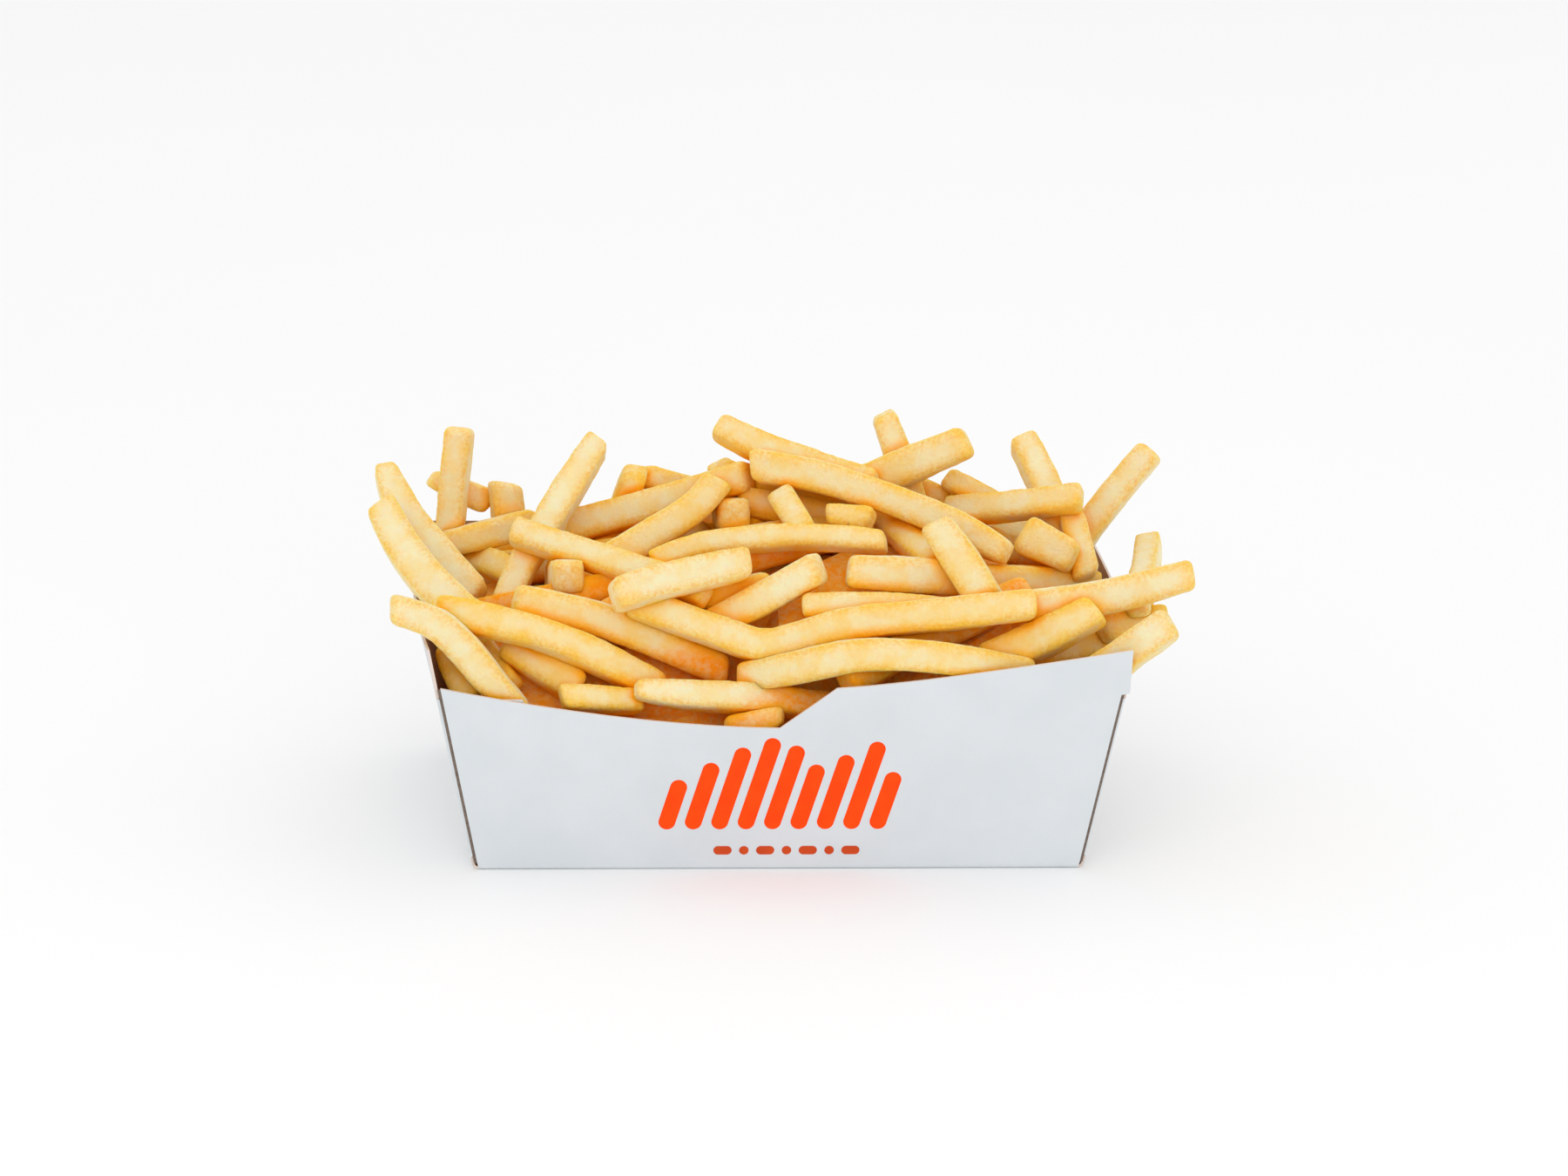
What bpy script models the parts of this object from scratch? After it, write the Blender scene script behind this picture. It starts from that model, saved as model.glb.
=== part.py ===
"""French fries heaped in an open paperboard carton.

Two solids: the carton, one folded blank of board, and the fries, one heap fused out of a smaller core and
the fries that show. Lengths are in millimetres until a mesh is made. +X is to the right of the front
panel, the front panel faces -Y, +Z is up and the origin is under the middle of the base.
"""
import math

import bmesh
import bpy
import numpy as np
from mathutils import Vector

MM = 0.001
MERGE_DISTANCE = 0.004 * MM

# Carton, one blank of board folded up and glued
BOARD = 0.6
BASE_WIDTH = 140.0
BASE_DEPTH = 95.0
RIM_HEIGHT = 54.3
LEFT_FLARE = 0.194
RIGHT_FLARE = 0.178
FRONT_FLARE = 0.149
BACK_FLARE = 0.148
LEFT_BOW = 3.3
RIGHT_BOW = 1.2
# The bow runs out this far beyond the base's front and back, and grows with height
BOW_RUN_OUT = 7.0
BOW_GROWTH = 1.5
CORNER_RELIEF = 1.1
FLAP_GAP = 0.85
FLAP_LENGTH = 24.0
FLAP_TOP = 42.0
FLAP_SLANT = 5.0
FOLD_RADIUS = 0.7
FOLD_ANGLE = math.radians(35)
PANEL_INSET = 0.95
# Top edge of the front panel: a low sweep, a slanted step and a rising sweep
LEFT_CORNER_TOP = 45.1
STEP_FOOT_X = -0.8
STEP_FOOT_TOP = 35.2
STEP_HEAD_X = 12.0
STEP_HEAD_TOP = 45.1
RIGHT_CORNER_TOP = 54.5
LOW_SWEEP_POWER = 1.7
HIGH_SWEEP_POWER = 1.25
EAR_FOOT = 43.5
EAR_WIDTH = 1.9
EAR_RISE = 0.4
EAR_TOP_INSET = 1.7
# The right side's rim drops from the full height to the ear near the front
RIGHT_DIP_TOP = 43.0
RIGHT_DIP_LENGTH = 40.0
RIM_OVER_FLAP = 0.8
SIDE_COLUMNS = 10
SIDE_ROWS = (3.0, 14.0, 28.0, FLAP_TOP)
SWEEP_STEPS = 10

# Where the heap is looked at from when its fries are laid out, and the frame of that view in pixels
VIEW_TURN = math.radians(-3.76)
VIEW_TILT = math.radians(16.0)
VIEW_ROLL = math.radians(1.06)
VIEW_DISTANCE = 1300.0
VIEW_RIGHT_SHIFT = 3.0
VIEW_UP_SHIFT = 17.8
VIEW_AIM_HEIGHT = 35.0
VIEW_PX_PER_MM = 4.856
VIEW_MIDDLE_PX = np.array((900.0, 675.0))

# Heap: the surface on which the middles of the outer fries lie
HEAP_RIM = 44.0
HEAP_BACK_RIM = 50.0
HEAP_CREST_Y = 2.0
HEAP_FRONT_REACH = 56.0
HEAP_BACK_REACH = 54.0
HEAP_FRONT_POWER = 2.2
HEAP_BACK_POWER = 1.5
HEAP_MOST_REACH = 1.15
# Height of the heap's crest across the carton, as (x, height)
HEAP_CREST = ((-110, 42), (-80, 55), (-68, 62), (-45, 67), (-15, 74), (35, 75), (64, 70), (80, 56), (110, 42))
CORE_SINK = 6.0
CORE_REACH = 7.5
CORE_UNDER_FRY = 0.5
CORE_LOWEST_TOP = 30.0
CORE_FLOOR = 1.3
CORE_FOOT_GAP = 3.2
CORE_TOP_GAP = 5.5
CORE_TOP_WALL = 46.0
CORE_CELLS = (16, 11)
WALL_CLEARANCE = 0.75
SIDE_SHIFT = 4.0
RIM_CLEARANCE = 1.4
LAYER_STEP = 5.0
# The layer whose fries start at the heap's own surface
SURFACE_LAYER = 1.5
CREST_MARGIN = 8.0
ROUNDING_SHARE = 0.86
FRY_CHAMFER = 0.22
CUTS_BY_BEND = 60
MOST_CUTS = 4
UNCUT_LENGTH = 50.0
STATION_SPACING = 4.0
CURVE_STEPS = 12
NEAREST_DEPTH = -75.0
FARTHEST_DEPTH = 25.0
NEVER = 99.0
LONG_FRY = 60.0
TOUCH = 0.90
BACK_TOUCH = 0.82
BACK_LOWEST_Y = -20.0
BACK_TRIES = 3000
BACK_HALF_WIDTH = 68.0
BACK_FROM_Y = 8.0
BACK_TO_Y = 50.0
BACK_TURN = 1.3
BACK_LENGTH = (66.0, 84.0)
BACK_SHORTENING = 44.0
BACK_RADIUS = (3.5, 4.1)
BACK_BEND = 3.0
LOWEST_LIFT = -9.0
HIGHEST_LIFT = 3.0
SETTLE_ROUNDS = 300
HOME_PULL = 0.03
HOME_ROUNDS = 240
PUSH = 0.6
LEAST_CONTACT = 0.35
LEAST_COUNT = 1e-6
LARGEST_MOVE = 4.0
OVER_RIM_SHARE = 0.6
CORNER_SHARE = 1.12
SEED = 11
# The way that a fry's broad face looks, and how far it may be turned from there
FACING = (0, -1, 0.45)
END_ON_FACING = (0, 0, 1)
MOSTLY_ALONG = 0.85
DIRECTION_REACH = 2.0
FRY_TURN = 0.24
SQUARENESS = 5.5

# Each fry that shows: name, layer counted from the front, width in pixels, and the middle line of it
# across the view in pixels
SHOWN_FRIES = (
    ("left_low", 1.0, 40, ((448, 698), (500, 716), (535, 748), (565, 784), (598, 822))),
    ("left_outer", 2.0, 42, ((438, 581), (456, 617), (487, 661), (525, 698), (560, 722))),
    ("left_tip", 3.0, 45, ((441, 533), (453, 567), (474, 603), (507, 642), (548, 690))),
    ("upright_left", 3.4, 36, ((528, 490), (521, 560), (513, 640))),
    ("cross_back_left", 5.0, 30, ((494, 548), (565, 578))),
    ("stub_left", 4.0, 42, ((579, 553), (586, 615))),
    ("left_cross", 3.2, 34, ((505, 626), (560, 613), (614, 599))),
    ("upright_mid", 3.0, 38, ((687, 507), (650, 566), (618, 618), (597, 655), (580, 696))),
    ("mid_left_diagonal", 2.0, 38, ((588, 610), (650, 630), (715, 650), (812, 682))),
    ("upper_left_long", 3.0, 41, ((650, 607), (760, 577), (862, 546))),
    ("rise_left", 2.4, 40, ((690, 648), (760, 607), (800, 580), (826, 550))),
    ("back_bump", 4.0, 36, ((826, 531), (852, 570))),
    ("top_stub_left", 4.0, 36, ((730, 540), (712, 590))),
    ("top_back_left", 5.0, 32, ((735, 545), (835, 575))),
    ("long_left_middle", 2.0, 40, ((590, 688), (660, 703), (720, 722), (780, 748), (836, 770))),
    ("long_left_front", 1.6, 42, ((500, 700), (560, 713), (620, 728), (680, 752), (755, 790))),
    ("end_on_left", 1.6, 44, ((653, 662), (643, 664))),
    ("centre_short", 1.0, 43, ((704, 685), (760, 668), (862, 645))),
    ("bent_v", 1.4, 42, ((724, 690), (790, 714), (850, 735), (880, 742), (910, 735), (980, 717), (1080, 706),
                       (1190, 693))),
    ("bottom_centre", 1.0, 38, ((729, 791), (800, 799), (870, 803), (970, 815))),
    ("bottom_tip", 0.8, 38, ((834, 843), (900, 821))),
    ("top_long_back", 3.0, 42, ((822, 488), (870, 513), (930, 536), (1005, 562))),
    ("top_long", 2.0, 38, ((863, 534), (930, 545), (1000, 566), (1070, 592), (1120, 616), (1157, 636))),
    ("under_long", 3.0, 32, ((862, 552), (920, 562), (985, 582))),
    ("top_cross", 3.0, 42, ((965, 566), (1030, 540), (1112, 506))),
    ("top_upright", 4.0, 36, ((1014, 475), (1030, 520), (1048, 580))),
    ("right_back_low", 4.0, 32, ((1085, 548), (1160, 588))),
    ("right_back_short", 4.0, 28, ((1050, 558), (1090, 574))),
    ("right_upright_left", 4.0, 38, ((1172, 504), (1197, 553), (1232, 642))),
    ("right_level", 3.0, 38, ((1088, 587), (1165, 581), (1243, 571))),
    ("right_upright_right", 4.0, 37, ((1322, 516), (1285, 560), (1252, 602), (1205, 672))),
    ("right_drop", 3.0, 34, ((1229, 588), (1247, 664))),
    ("right_round", 2.6, 47, ((1172, 612), (1234, 642))),
    ("centre_right_diagonal", 1.4, 43, ((1074, 600), (1104, 645), (1133, 692))),
    ("centre_level", 2.0, 34, ((750, 645), (800, 628), (860, 620), (930, 617), (1018, 623))),
    ("short_rise", 1.9, 39, ((806, 722), (870, 690), (943, 650))),
    ("centre_block", 2.0, 42, ((972, 656), (1108, 664))),
    ("under_bent", 2.2, 34, ((922, 697), (1000, 696), (1095, 703))),
    ("arch_front", 1.0, 39, ((848, 778), (910, 767), (980, 753), (1040, 752), (1110, 760), (1182, 774))),
    ("right_front", 1.2, 45, ((1132, 760), (1205, 730), (1261, 699))),
    ("long_right", 2.0, 39, ((1175, 697), (1270, 685), (1371, 659))),
    ("right_stub_up", 3.0, 35, ((1319, 621), (1315, 655), (1304, 698))),
    ("right_low", 2.0, 47, ((1346, 714), (1300, 746), (1250, 785))),
    ("right_low_back", 3.0, 36, ((1340, 708), (1262, 724))),
    ("low_right_shadow", 3.0, 34, ((1175, 754), (1275, 736))),
    ("chunk_left", 1.4, 36, ((643, 801), (735, 806))),
    ("low_left_shadow", 3.0, 46, ((582, 742), (667, 793))),
    ("left_corner", 2.0, 38, ((516, 748), (541, 806))),
    ("left_low_shadow", 3.0, 34, ((538, 724), (585, 790))),
    ("end_on_centre", 3.0, 41, ((843, 591), (835, 592))),
    ("lean_centre", 2.5, 34, ((896, 567), (926, 615))),
    ("rough_end_right", 2.6, 34, ((948, 593), (1002, 598))),
    ("rough_end_left", 3.8, 36, ((540, 638), (600, 662))),
    ("mid_right_shadow", 3.8, 36, ((1010, 590), (1075, 650))),
    ("under_short", 3.0, 32, ((805, 692), (885, 668))),
    ("right_shadow", 3.4, 34, ((1120, 664), (1260, 670))),
)
# The heap's own outline in that view, under the tips that stand out of it
HEAP_OUTLINE = ((470, 700), (500, 622), (560, 602), (640, 596), (700, 580), (740, 556), (800, 556),
                (830, 542), (870, 545), (950, 556), (1060, 560), (1180, 570), (1240, 566), (1256, 630),
                (1280, 700))
# How far a fry seen from its end runs back into the heap
END_ON_LENGTH = 34.0
END_ON_NAMES = ("end_on_left", "end_on_centre")


def wall_x(side, height):
    """Middle of a side panel's board, left (-1) or right (+1), at a height"""
    flare = LEFT_FLARE if side < 0 else RIGHT_FLARE
    return side * (BASE_WIDTH / 2 + flare * height)


def wall_y(face, height):
    """Middle of the front (-1) or back (+1) panel's board at a height"""
    flare = FRONT_FLARE if face < 0 else BACK_FLARE
    return face * (BASE_DEPTH / 2 + flare * height)


def bow(side, y, height):
    """How far the heap pushes a side panel outwards"""
    reach = LEFT_BOW if side < 0 else RIGHT_BOW
    along = np.clip(1 - (y / (BASE_DEPTH / 2 + BOW_RUN_OUT)) ** 2, 0, 1)
    return side * reach * along * np.clip(height / RIM_HEIGHT, 0, 1) ** BOW_GROWTH


def side_rim(side, y):
    """Height of a side panel's rim: level, with a dip at the right front"""
    if side < 0:
        return RIM_HEIGHT
    front = wall_y(-1, EAR_FOOT)
    t = np.clip((y - front) / RIGHT_DIP_LENGTH, 0, 1)
    return RIGHT_DIP_TOP + (RIM_HEIGHT - RIGHT_DIP_TOP) * t * t * (3 - 2 * t)


def front_top_edge():
    """Outline of the front panel's top from right to left, as (x, height)"""
    points = []
    right_x = wall_x(1, RIGHT_CORNER_TOP) + EAR_WIDTH - PANEL_INSET - EAR_TOP_INSET
    left_x = wall_x(-1, LEFT_CORNER_TOP) + PANEL_INSET
    for i in range(SWEEP_STEPS + 1):
        t = 1 - i / SWEEP_STEPS
        x = STEP_HEAD_X + (right_x - STEP_HEAD_X) * t
        points.append((x, STEP_HEAD_TOP + (RIGHT_CORNER_TOP - STEP_HEAD_TOP) * t ** HIGH_SWEEP_POWER))
    for i in range(SWEEP_STEPS + 1):
        t = i / SWEEP_STEPS
        x = STEP_FOOT_X + (left_x - STEP_FOOT_X) * t
        points.append((x, STEP_FOOT_TOP + (LEFT_CORNER_TOP - STEP_FOOT_TOP) * t ** LOW_SWEEP_POWER))
    return points


def front_outline():
    """The front panel from its lower right corner round to its lower left, as (x, height)"""
    foot = BASE_WIDTH / 2 - CORNER_RELIEF
    right = [(foot, 0.0), (wall_x(1, CORNER_RELIEF) - PANEL_INSET, CORNER_RELIEF)]
    right.append((wall_x(1, EAR_FOOT) - PANEL_INSET, EAR_FOOT))
    right.append((wall_x(1, EAR_FOOT) - PANEL_INSET + EAR_WIDTH, EAR_FOOT + EAR_RISE))
    left = [(wall_x(-1, CORNER_RELIEF) + PANEL_INSET, CORNER_RELIEF), (-foot, 0.0)]
    return right + front_top_edge() + left


def back_outline():
    """The back panel, plain and straight, from its right corner round to its left"""
    foot = BASE_WIDTH / 2 - CORNER_RELIEF
    heights = (CORNER_RELIEF, RIM_HEIGHT)
    right = [(foot, 0.0)] + [(wall_x(1, h) - PANEL_INSET, h) for h in heights]
    left = [(wall_x(-1, h) + PANEL_INSET, h) for h in reversed(heights)] + [(-foot, 0.0)]
    return right + left


def add_panel(bm, face, outline, foot_verts):
    """A flat panel standing on two corners of the base"""
    first, last = foot_verts
    verts = [first]
    verts += [bm.verts.new((x, wall_y(face, z), z)) for x, z in outline[1:-1]]
    verts.append(last)
    bm.faces.new(verts)


def side_point(side, y_share, height):
    """A point of a side panel: y_share runs from -1 at its front fold to 1 at its back fold"""
    reach = -wall_y(-1, height) - FLAP_GAP if y_share < 0 else wall_y(1, height) - FLAP_GAP
    y = y_share * reach
    return Vector((wall_x(side, height) + bow(side, y, height), y, height))


def add_side(bm, side, front_foot, back_foot):
    """A side panel as a grid of faces that bows outwards, with a glue flap at each end"""
    shares = [-1 + 2 * i / SIDE_COLUMNS for i in range(SIDE_COLUMNS + 1)]
    rows = [[]]
    for i, share in enumerate(shares):
        if i == 0:
            rows[0].append(front_foot)
        elif i == SIDE_COLUMNS:
            rows[0].append(back_foot)
        else:
            reach = front_foot.co.y if share < 0 else back_foot.co.y
            rows[0].append(bm.verts.new((wall_x(side, 0), abs(share) * reach, 0)))
    for height in SIDE_ROWS:
        rows.append([bm.verts.new(side_point(side, share, height)) for share in shares])
    top = []
    for share in shares:
        rim = side_rim(side, side_point(side, share, RIM_HEIGHT).y)
        top.append(bm.verts.new(side_point(side, share, max(rim, FLAP_TOP + RIM_OVER_FLAP))))
    rows.append(top)
    for low, high in zip(rows, rows[1:]):
        for i in range(SIDE_COLUMNS):
            bm.faces.new((low[i], low[i + 1], high[i + 1], high[i]))
    for face, column in ((-1, 0), (1, SIDE_COLUMNS)):
        add_flap(bm, side, face, [row[column] for row in rows[1:-1]])
    return rows[0]


def add_flap(bm, side, face, fold):
    """The glue flap that turns in behind the front or back panel, its free end cut on a slant"""
    inner = []
    for i, vert in enumerate(fold):
        slant = FLAP_SLANT if i in (0, len(fold) - 1) else 0.0
        z = vert.co.z
        x = vert.co.x - side * (FLAP_LENGTH - slant)
        inner.append(bm.verts.new((x, vert.co.y, z)))
    for i in range(len(fold) - 1):
        bm.faces.new((fold[i], fold[i + 1], inner[i + 1], inner[i]))


def make_carton(collection):
    """The folded blank: base, front, back, two sides and four flaps, as one sheet with thickness"""
    bm = bmesh.new()
    half_w, half_d, cut = BASE_WIDTH / 2, BASE_DEPTH / 2, CORNER_RELIEF
    front = [bm.verts.new((x, -half_d, 0)) for x in (half_w - cut, cut - half_w)]
    back = [bm.verts.new((x, half_d, 0)) for x in (half_w - cut, cut - half_w)]
    feet = {}
    for side in (-1, 1):
        ends = [bm.verts.new((side * half_w, y, 0)) for y in (cut - half_d, half_d - cut)]
        feet[side] = add_side(bm, side, *ends)
    add_panel(bm, -1, front_outline(), front)
    add_panel(bm, 1, back_outline(), back)
    bm.faces.new([front[1], front[0]] + feet[1] + [back[0], back[1]] + feet[-1][::-1])
    bmesh.ops.recalc_face_normals(bm, faces=bm.faces)
    bmesh.ops.translate(bm, verts=bm.verts, vec=(0, 0, BOARD / 2))
    bmesh.ops.scale(bm, verts=bm.verts, vec=(MM, MM, MM))
    carton = add_object(bm, "carton", collection, paperboard())
    folds = carton.modifiers.new("folds", "BEVEL")
    folds.width = FOLD_RADIUS * MM
    folds.segments = 2
    folds.limit_method = "ANGLE"
    folds.angle_limit = FOLD_ANGLE
    board = carton.modifiers.new("board", "SOLIDIFY")
    board.thickness = BOARD * MM
    board.offset = 0
    board.use_even_offset = True
    return carton


def view_axes():
    """The eye and the right, up and forward directions of the view that the heap is laid out in"""
    back = Vector((math.sin(VIEW_TURN) * math.cos(VIEW_TILT),
                   -math.cos(VIEW_TURN) * math.cos(VIEW_TILT), math.sin(VIEW_TILT)))
    right = (-back).cross(Vector((0, 0, 1))).normalized()
    up = right.cross(-back)
    eye = Vector((0, 0, VIEW_AIM_HEIGHT)) + back * VIEW_DISTANCE
    eye += right * VIEW_RIGHT_SHIFT + up * VIEW_UP_SHIFT
    return [np.array(v) for v in (eye, right, up, -back)]


def sight_directions(pixels):
    """For points of the view in pixels, the direction that covers 1 mm of depth"""
    _, right, up, forward = view_axes()
    c, s = math.cos(VIEW_ROLL), math.sin(VIEW_ROLL)
    offset = pixels - VIEW_MIDDLE_PX
    level_x = c * offset[:, 0] + s * offset[:, 1]
    level_y = -s * offset[:, 0] + c * offset[:, 1]
    focal = VIEW_PX_PER_MM * VIEW_DISTANCE
    return forward + np.outer(level_x / focal, right) - np.outer(level_y / focal, up)


def heap_height(x, y):
    """Height of the heap's surface, through the middles of its outer fries"""
    crest_x, crest_height = np.array(HEAP_CREST, float).T
    crest = np.interp(x, crest_x, crest_height)
    front = y < HEAP_CREST_Y
    rim = np.minimum(np.where(front, HEAP_RIM, HEAP_BACK_RIM), crest)
    reach = np.where(front, HEAP_FRONT_REACH, HEAP_BACK_REACH)
    power = np.where(front, HEAP_FRONT_POWER, HEAP_BACK_POWER)
    t = np.clip(np.abs(y - HEAP_CREST_Y) / reach, 0, HEAP_MOST_REACH)
    return rim + (crest - rim) * (1 - t ** power)


def smooth_route(points, spacing):
    """Points at even steps along a smooth curve through the given ones"""
    pts = np.array(points, float)
    ends = np.vstack((2 * pts[0] - pts[1], pts, 2 * pts[-1] - pts[-2]))
    fine = []
    for i in range(1, len(ends) - 2):
        a, b, c, d = ends[i - 1:i + 3]
        for t in np.linspace(0, 1, CURVE_STEPS, endpoint=False):
            fine.append(0.5 * (2 * b + (c - a) * t + (2 * a - 5 * b + 4 * c - d) * t * t
                               + (3 * b - a - 3 * c + d) * t ** 3))
    fine.append(pts[-1])
    fine = np.array(fine)
    run = np.concatenate(([0], np.cumsum(np.linalg.norm(np.diff(fine, axis=0), axis=1))))
    count = max(3, int(round(run[-1] / spacing)) + 1)
    at = np.linspace(0, run[-1], count)
    return np.column_stack([np.interp(at, run, fine[:, k]) for k in range(pts.shape[1])])


class Fry:
    """One fry: the middle line of it, its half width and its turn about that line"""

    def __init__(self, name, layer, radius, turn, pixels=None, points=None):
        self.name = name
        self.layer = layer
        self.radius = radius
        self.turn = turn
        self.pixels = pixels
        self.points = points


def first_depths(directions, layer):
    """Depth at which each line of sight meets the heap's surface, or passes it closest"""
    eye = view_axes()[0]
    depths = np.arange(NEAREST_DEPTH, FARTHEST_DEPTH)
    spots = eye + directions[:, None, :] * (VIEW_DISTANCE + depths)[None, :, None]
    above = spots[:, :, 2] - heap_height(spots[:, :, 0], spots[:, :, 1])
    above += np.where(spots[:, :, 1] > HEAP_CREST_Y + CREST_MARGIN, NEVER, 0)
    hit = above <= 0
    index = np.where(hit.any(axis=1), hit.argmax(axis=1), above.argmin(axis=1))
    found = depths[index]
    meets = hit.any(axis=1)
    if meets.any():
        stations = np.arange(len(found))
        found = np.interp(stations, stations[meets], found[meets])
    return found + (layer - SURFACE_LAYER) * LAYER_STEP


def depth_shapes(count, length):
    """What a fry's depth may follow along its length: a slope and, in a long fry, a slight bend"""
    t = np.linspace(-1, 1, count)
    columns = [np.ones(count), t]
    if length > LONG_FRY:
        columns.append(t * t)
    return np.column_stack(columns)


def shown_fries(random):
    """The fries that show, laid out in depth so that each rests on those behind it"""
    eye = view_axes()[0]
    fries, directions, depths, fits = [], [], [], []
    for name, layer, width, route in SHOWN_FRIES:
        pixels = smooth_route(route, STATION_SPACING * VIEW_PX_PER_MM)
        ways = sight_directions(pixels)
        start = first_depths(ways, layer)
        shapes = depth_shapes(len(pixels), len(pixels) * STATION_SPACING)
        fit = shapes @ np.linalg.pinv(shapes)
        if name in END_ON_NAMES:
            start = np.linspace(start.min(), start.min() + END_ON_LENGTH, len(pixels))
        turn = 0.0 if name in END_ON_NAMES else random.uniform(-FRY_TURN, FRY_TURN)
        fries.append(Fry(name, layer, width / VIEW_PX_PER_MM / 2 * ROUNDING_SHARE, turn, pixels))
        directions.append(ways)
        depths.append(fit @ start)
        fits.append(fit)
    pairs = overlapping_pairs(fries)
    homes = [d.copy() for d in depths]
    for turn in range(SETTLE_ROUNDS):
        pull = HOME_PULL * max(1 - turn / HOME_ROUNDS, 0)
        push_apart(depths, pairs)
        for i, fry in enumerate(fries):
            spots = eye + directions[i] * (VIEW_DISTANCE + depths[i])[:, None]
            depths[i] += keep_in_carton(spots, fry.radius)
            depths[i] += pull * (homes[i] - depths[i])
            depths[i] = fits[i] @ depths[i]
    for i, fry in enumerate(fries):
        points = eye + directions[i] * (VIEW_DISTANCE + depths[i])[:, None]
        fry.points = np.round(keep_between_sides(points, fry.radius), 2)
        fry.radius *= (1 + depths[i].mean() / VIEW_DISTANCE) / ROUNDING_SHARE / seen_width(fry)
    return fries


def facing_of(points):
    """The way that a fry's broad face looks: forwards and up, or only up in a fry seen from its end"""
    along = points[-1] - points[0]
    share = abs(along @ FACING) / (np.linalg.norm(along) * np.linalg.norm(FACING))
    return END_ON_FACING if share > MOSTLY_ALONG else FACING


def seen_width(fry):
    """How much wider than its faces a fry looks from the front, as its section is turned to the view"""
    along = fry.points[-1] - fry.points[0]
    across = np.cross(along, fry.points.mean(axis=0) - view_axes()[0])
    wide = np.cross(along, facing_of(fry.points))
    tall = np.cross(wide, along)
    across, wide, tall = [v / np.linalg.norm(v) for v in (across, wide, tall)]
    c, s = math.cos(fry.turn), math.sin(fry.turn)
    shares = np.abs((across @ (wide * c + tall * s), across @ (tall * c - wide * s)))
    power = SQUARENESS / (SQUARENESS - 1)
    return (shares ** power).sum() ** (1 / power)


def keep_between_sides(points, radius):
    """Shift what would cross a side panel below its rim sideways into the carton"""
    x, y, z = points.T
    room = radius * CORNER_SHARE + WALL_CLEARANCE
    for side in (-1, 1):
        rim = side_rim(side, y)
        low = z < rim + radius
        limit = side * wall_x(side, np.minimum(z, rim)) - room
        lack = np.where(low, side * x - limit, 0)
        if 0 < lack.max() < SIDE_SHIFT:
            x = x - side * np.clip(lack, 0, None)
    return np.column_stack((x, y, z))


def overlapping_pairs(fries):
    """Stations of two fries that overlap in the view, with the gap in depth that they need"""
    pairs = []
    for i, a in enumerate(fries):
        for j, b in enumerate(fries[i + 1:], i + 1):
            apart = np.linalg.norm(a.pixels[:, None] - b.pixels[None], axis=2) / VIEW_PX_PER_MM
            reach = (a.radius + b.radius) * TOUCH
            p, q = np.nonzero(apart < reach)
            if len(p):
                gap = np.sqrt(reach ** 2 - apart[p, q] ** 2)
                pairs.append((i, j, p, q, gap, 1 if a.layer <= b.layer else -1))
    return pairs


def push_apart(depths, pairs):
    """Move overlapping fries apart in depth, the front one forwards and the other back"""
    moves = [np.zeros(len(d)) for d in depths]
    counts = [np.full(len(d), LEAST_COUNT) for d in depths]
    for i, j, p, q, gap, order in pairs:
        lack = gap - order * (depths[j][q] - depths[i][p])
        short = lack > 0
        if short.any():
            np.add.at(moves[i], p[short], -order * lack[short] / 2)
            np.add.at(moves[j], q[short], order * lack[short] / 2)
            np.add.at(counts[i], p[short], 1)
            np.add.at(counts[j], q[short], 1)
    for depth, move, count in zip(depths, moves, counts):
        contact = (count >= 1).mean()
        depth += move / count / max(contact, LEAST_CONTACT) * PUSH


def keep_in_carton(spots, radius):
    """Change of depth that keeps a fry's stations behind the front panel, before the back one
    and above the side rims"""
    x, y, z = spots.T
    room = radius * CORNER_SHARE + WALL_CLEARANCE + FLAP_GAP
    front_lack = (wall_y(-1, 0) - FRONT_FLARE * z + room) - y
    back_lack = y - (wall_y(1, 0) + BACK_FLARE * z - room)
    back_lack = np.where(z < RIM_HEIGHT + radius, back_lack, 0)
    move = np.clip(front_lack, 0, LARGEST_MOVE) - np.clip(back_lack, 0, LARGEST_MOVE)
    for side in (-1, 1):
        rim = side_rim(side, y)
        limit = side * wall_x(side, rim) - radius * OVER_RIM_SHARE
        over = side * x > limit
        rim_lack = np.where(over, rim + radius * CORNER_SHARE + RIM_CLEARANCE - z, 0)
        move -= np.clip(rim_lack / math.sin(VIEW_TILT), 0, LARGEST_MOVE)
    return move


def straight_bar(cuts):
    """A bar one unit wide and long, cut across and with its long edges chamfered"""
    bm = bmesh.new()
    bmesh.ops.create_cube(bm, size=1.0)
    long_edges = [e for e in bm.edges if abs(e.verts[0].co.z - e.verts[1].co.z) > 0.5]
    bmesh.ops.bevel(bm, geom=long_edges, offset=FRY_CHAMFER, segments=1, profile=0.5,
                    affect="EDGES", material=-1)
    for i in range(1, cuts + 1):
        height = i / (cuts + 1) - 0.5
        bmesh.ops.bisect_plane(bm, geom=bm.verts[:] + bm.edges[:] + bm.faces[:],
                               plane_co=(0, 0, height), plane_no=(0, 0, 1))
    bmesh.ops.triangulate(bm, faces=bm.faces)
    return bm


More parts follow.
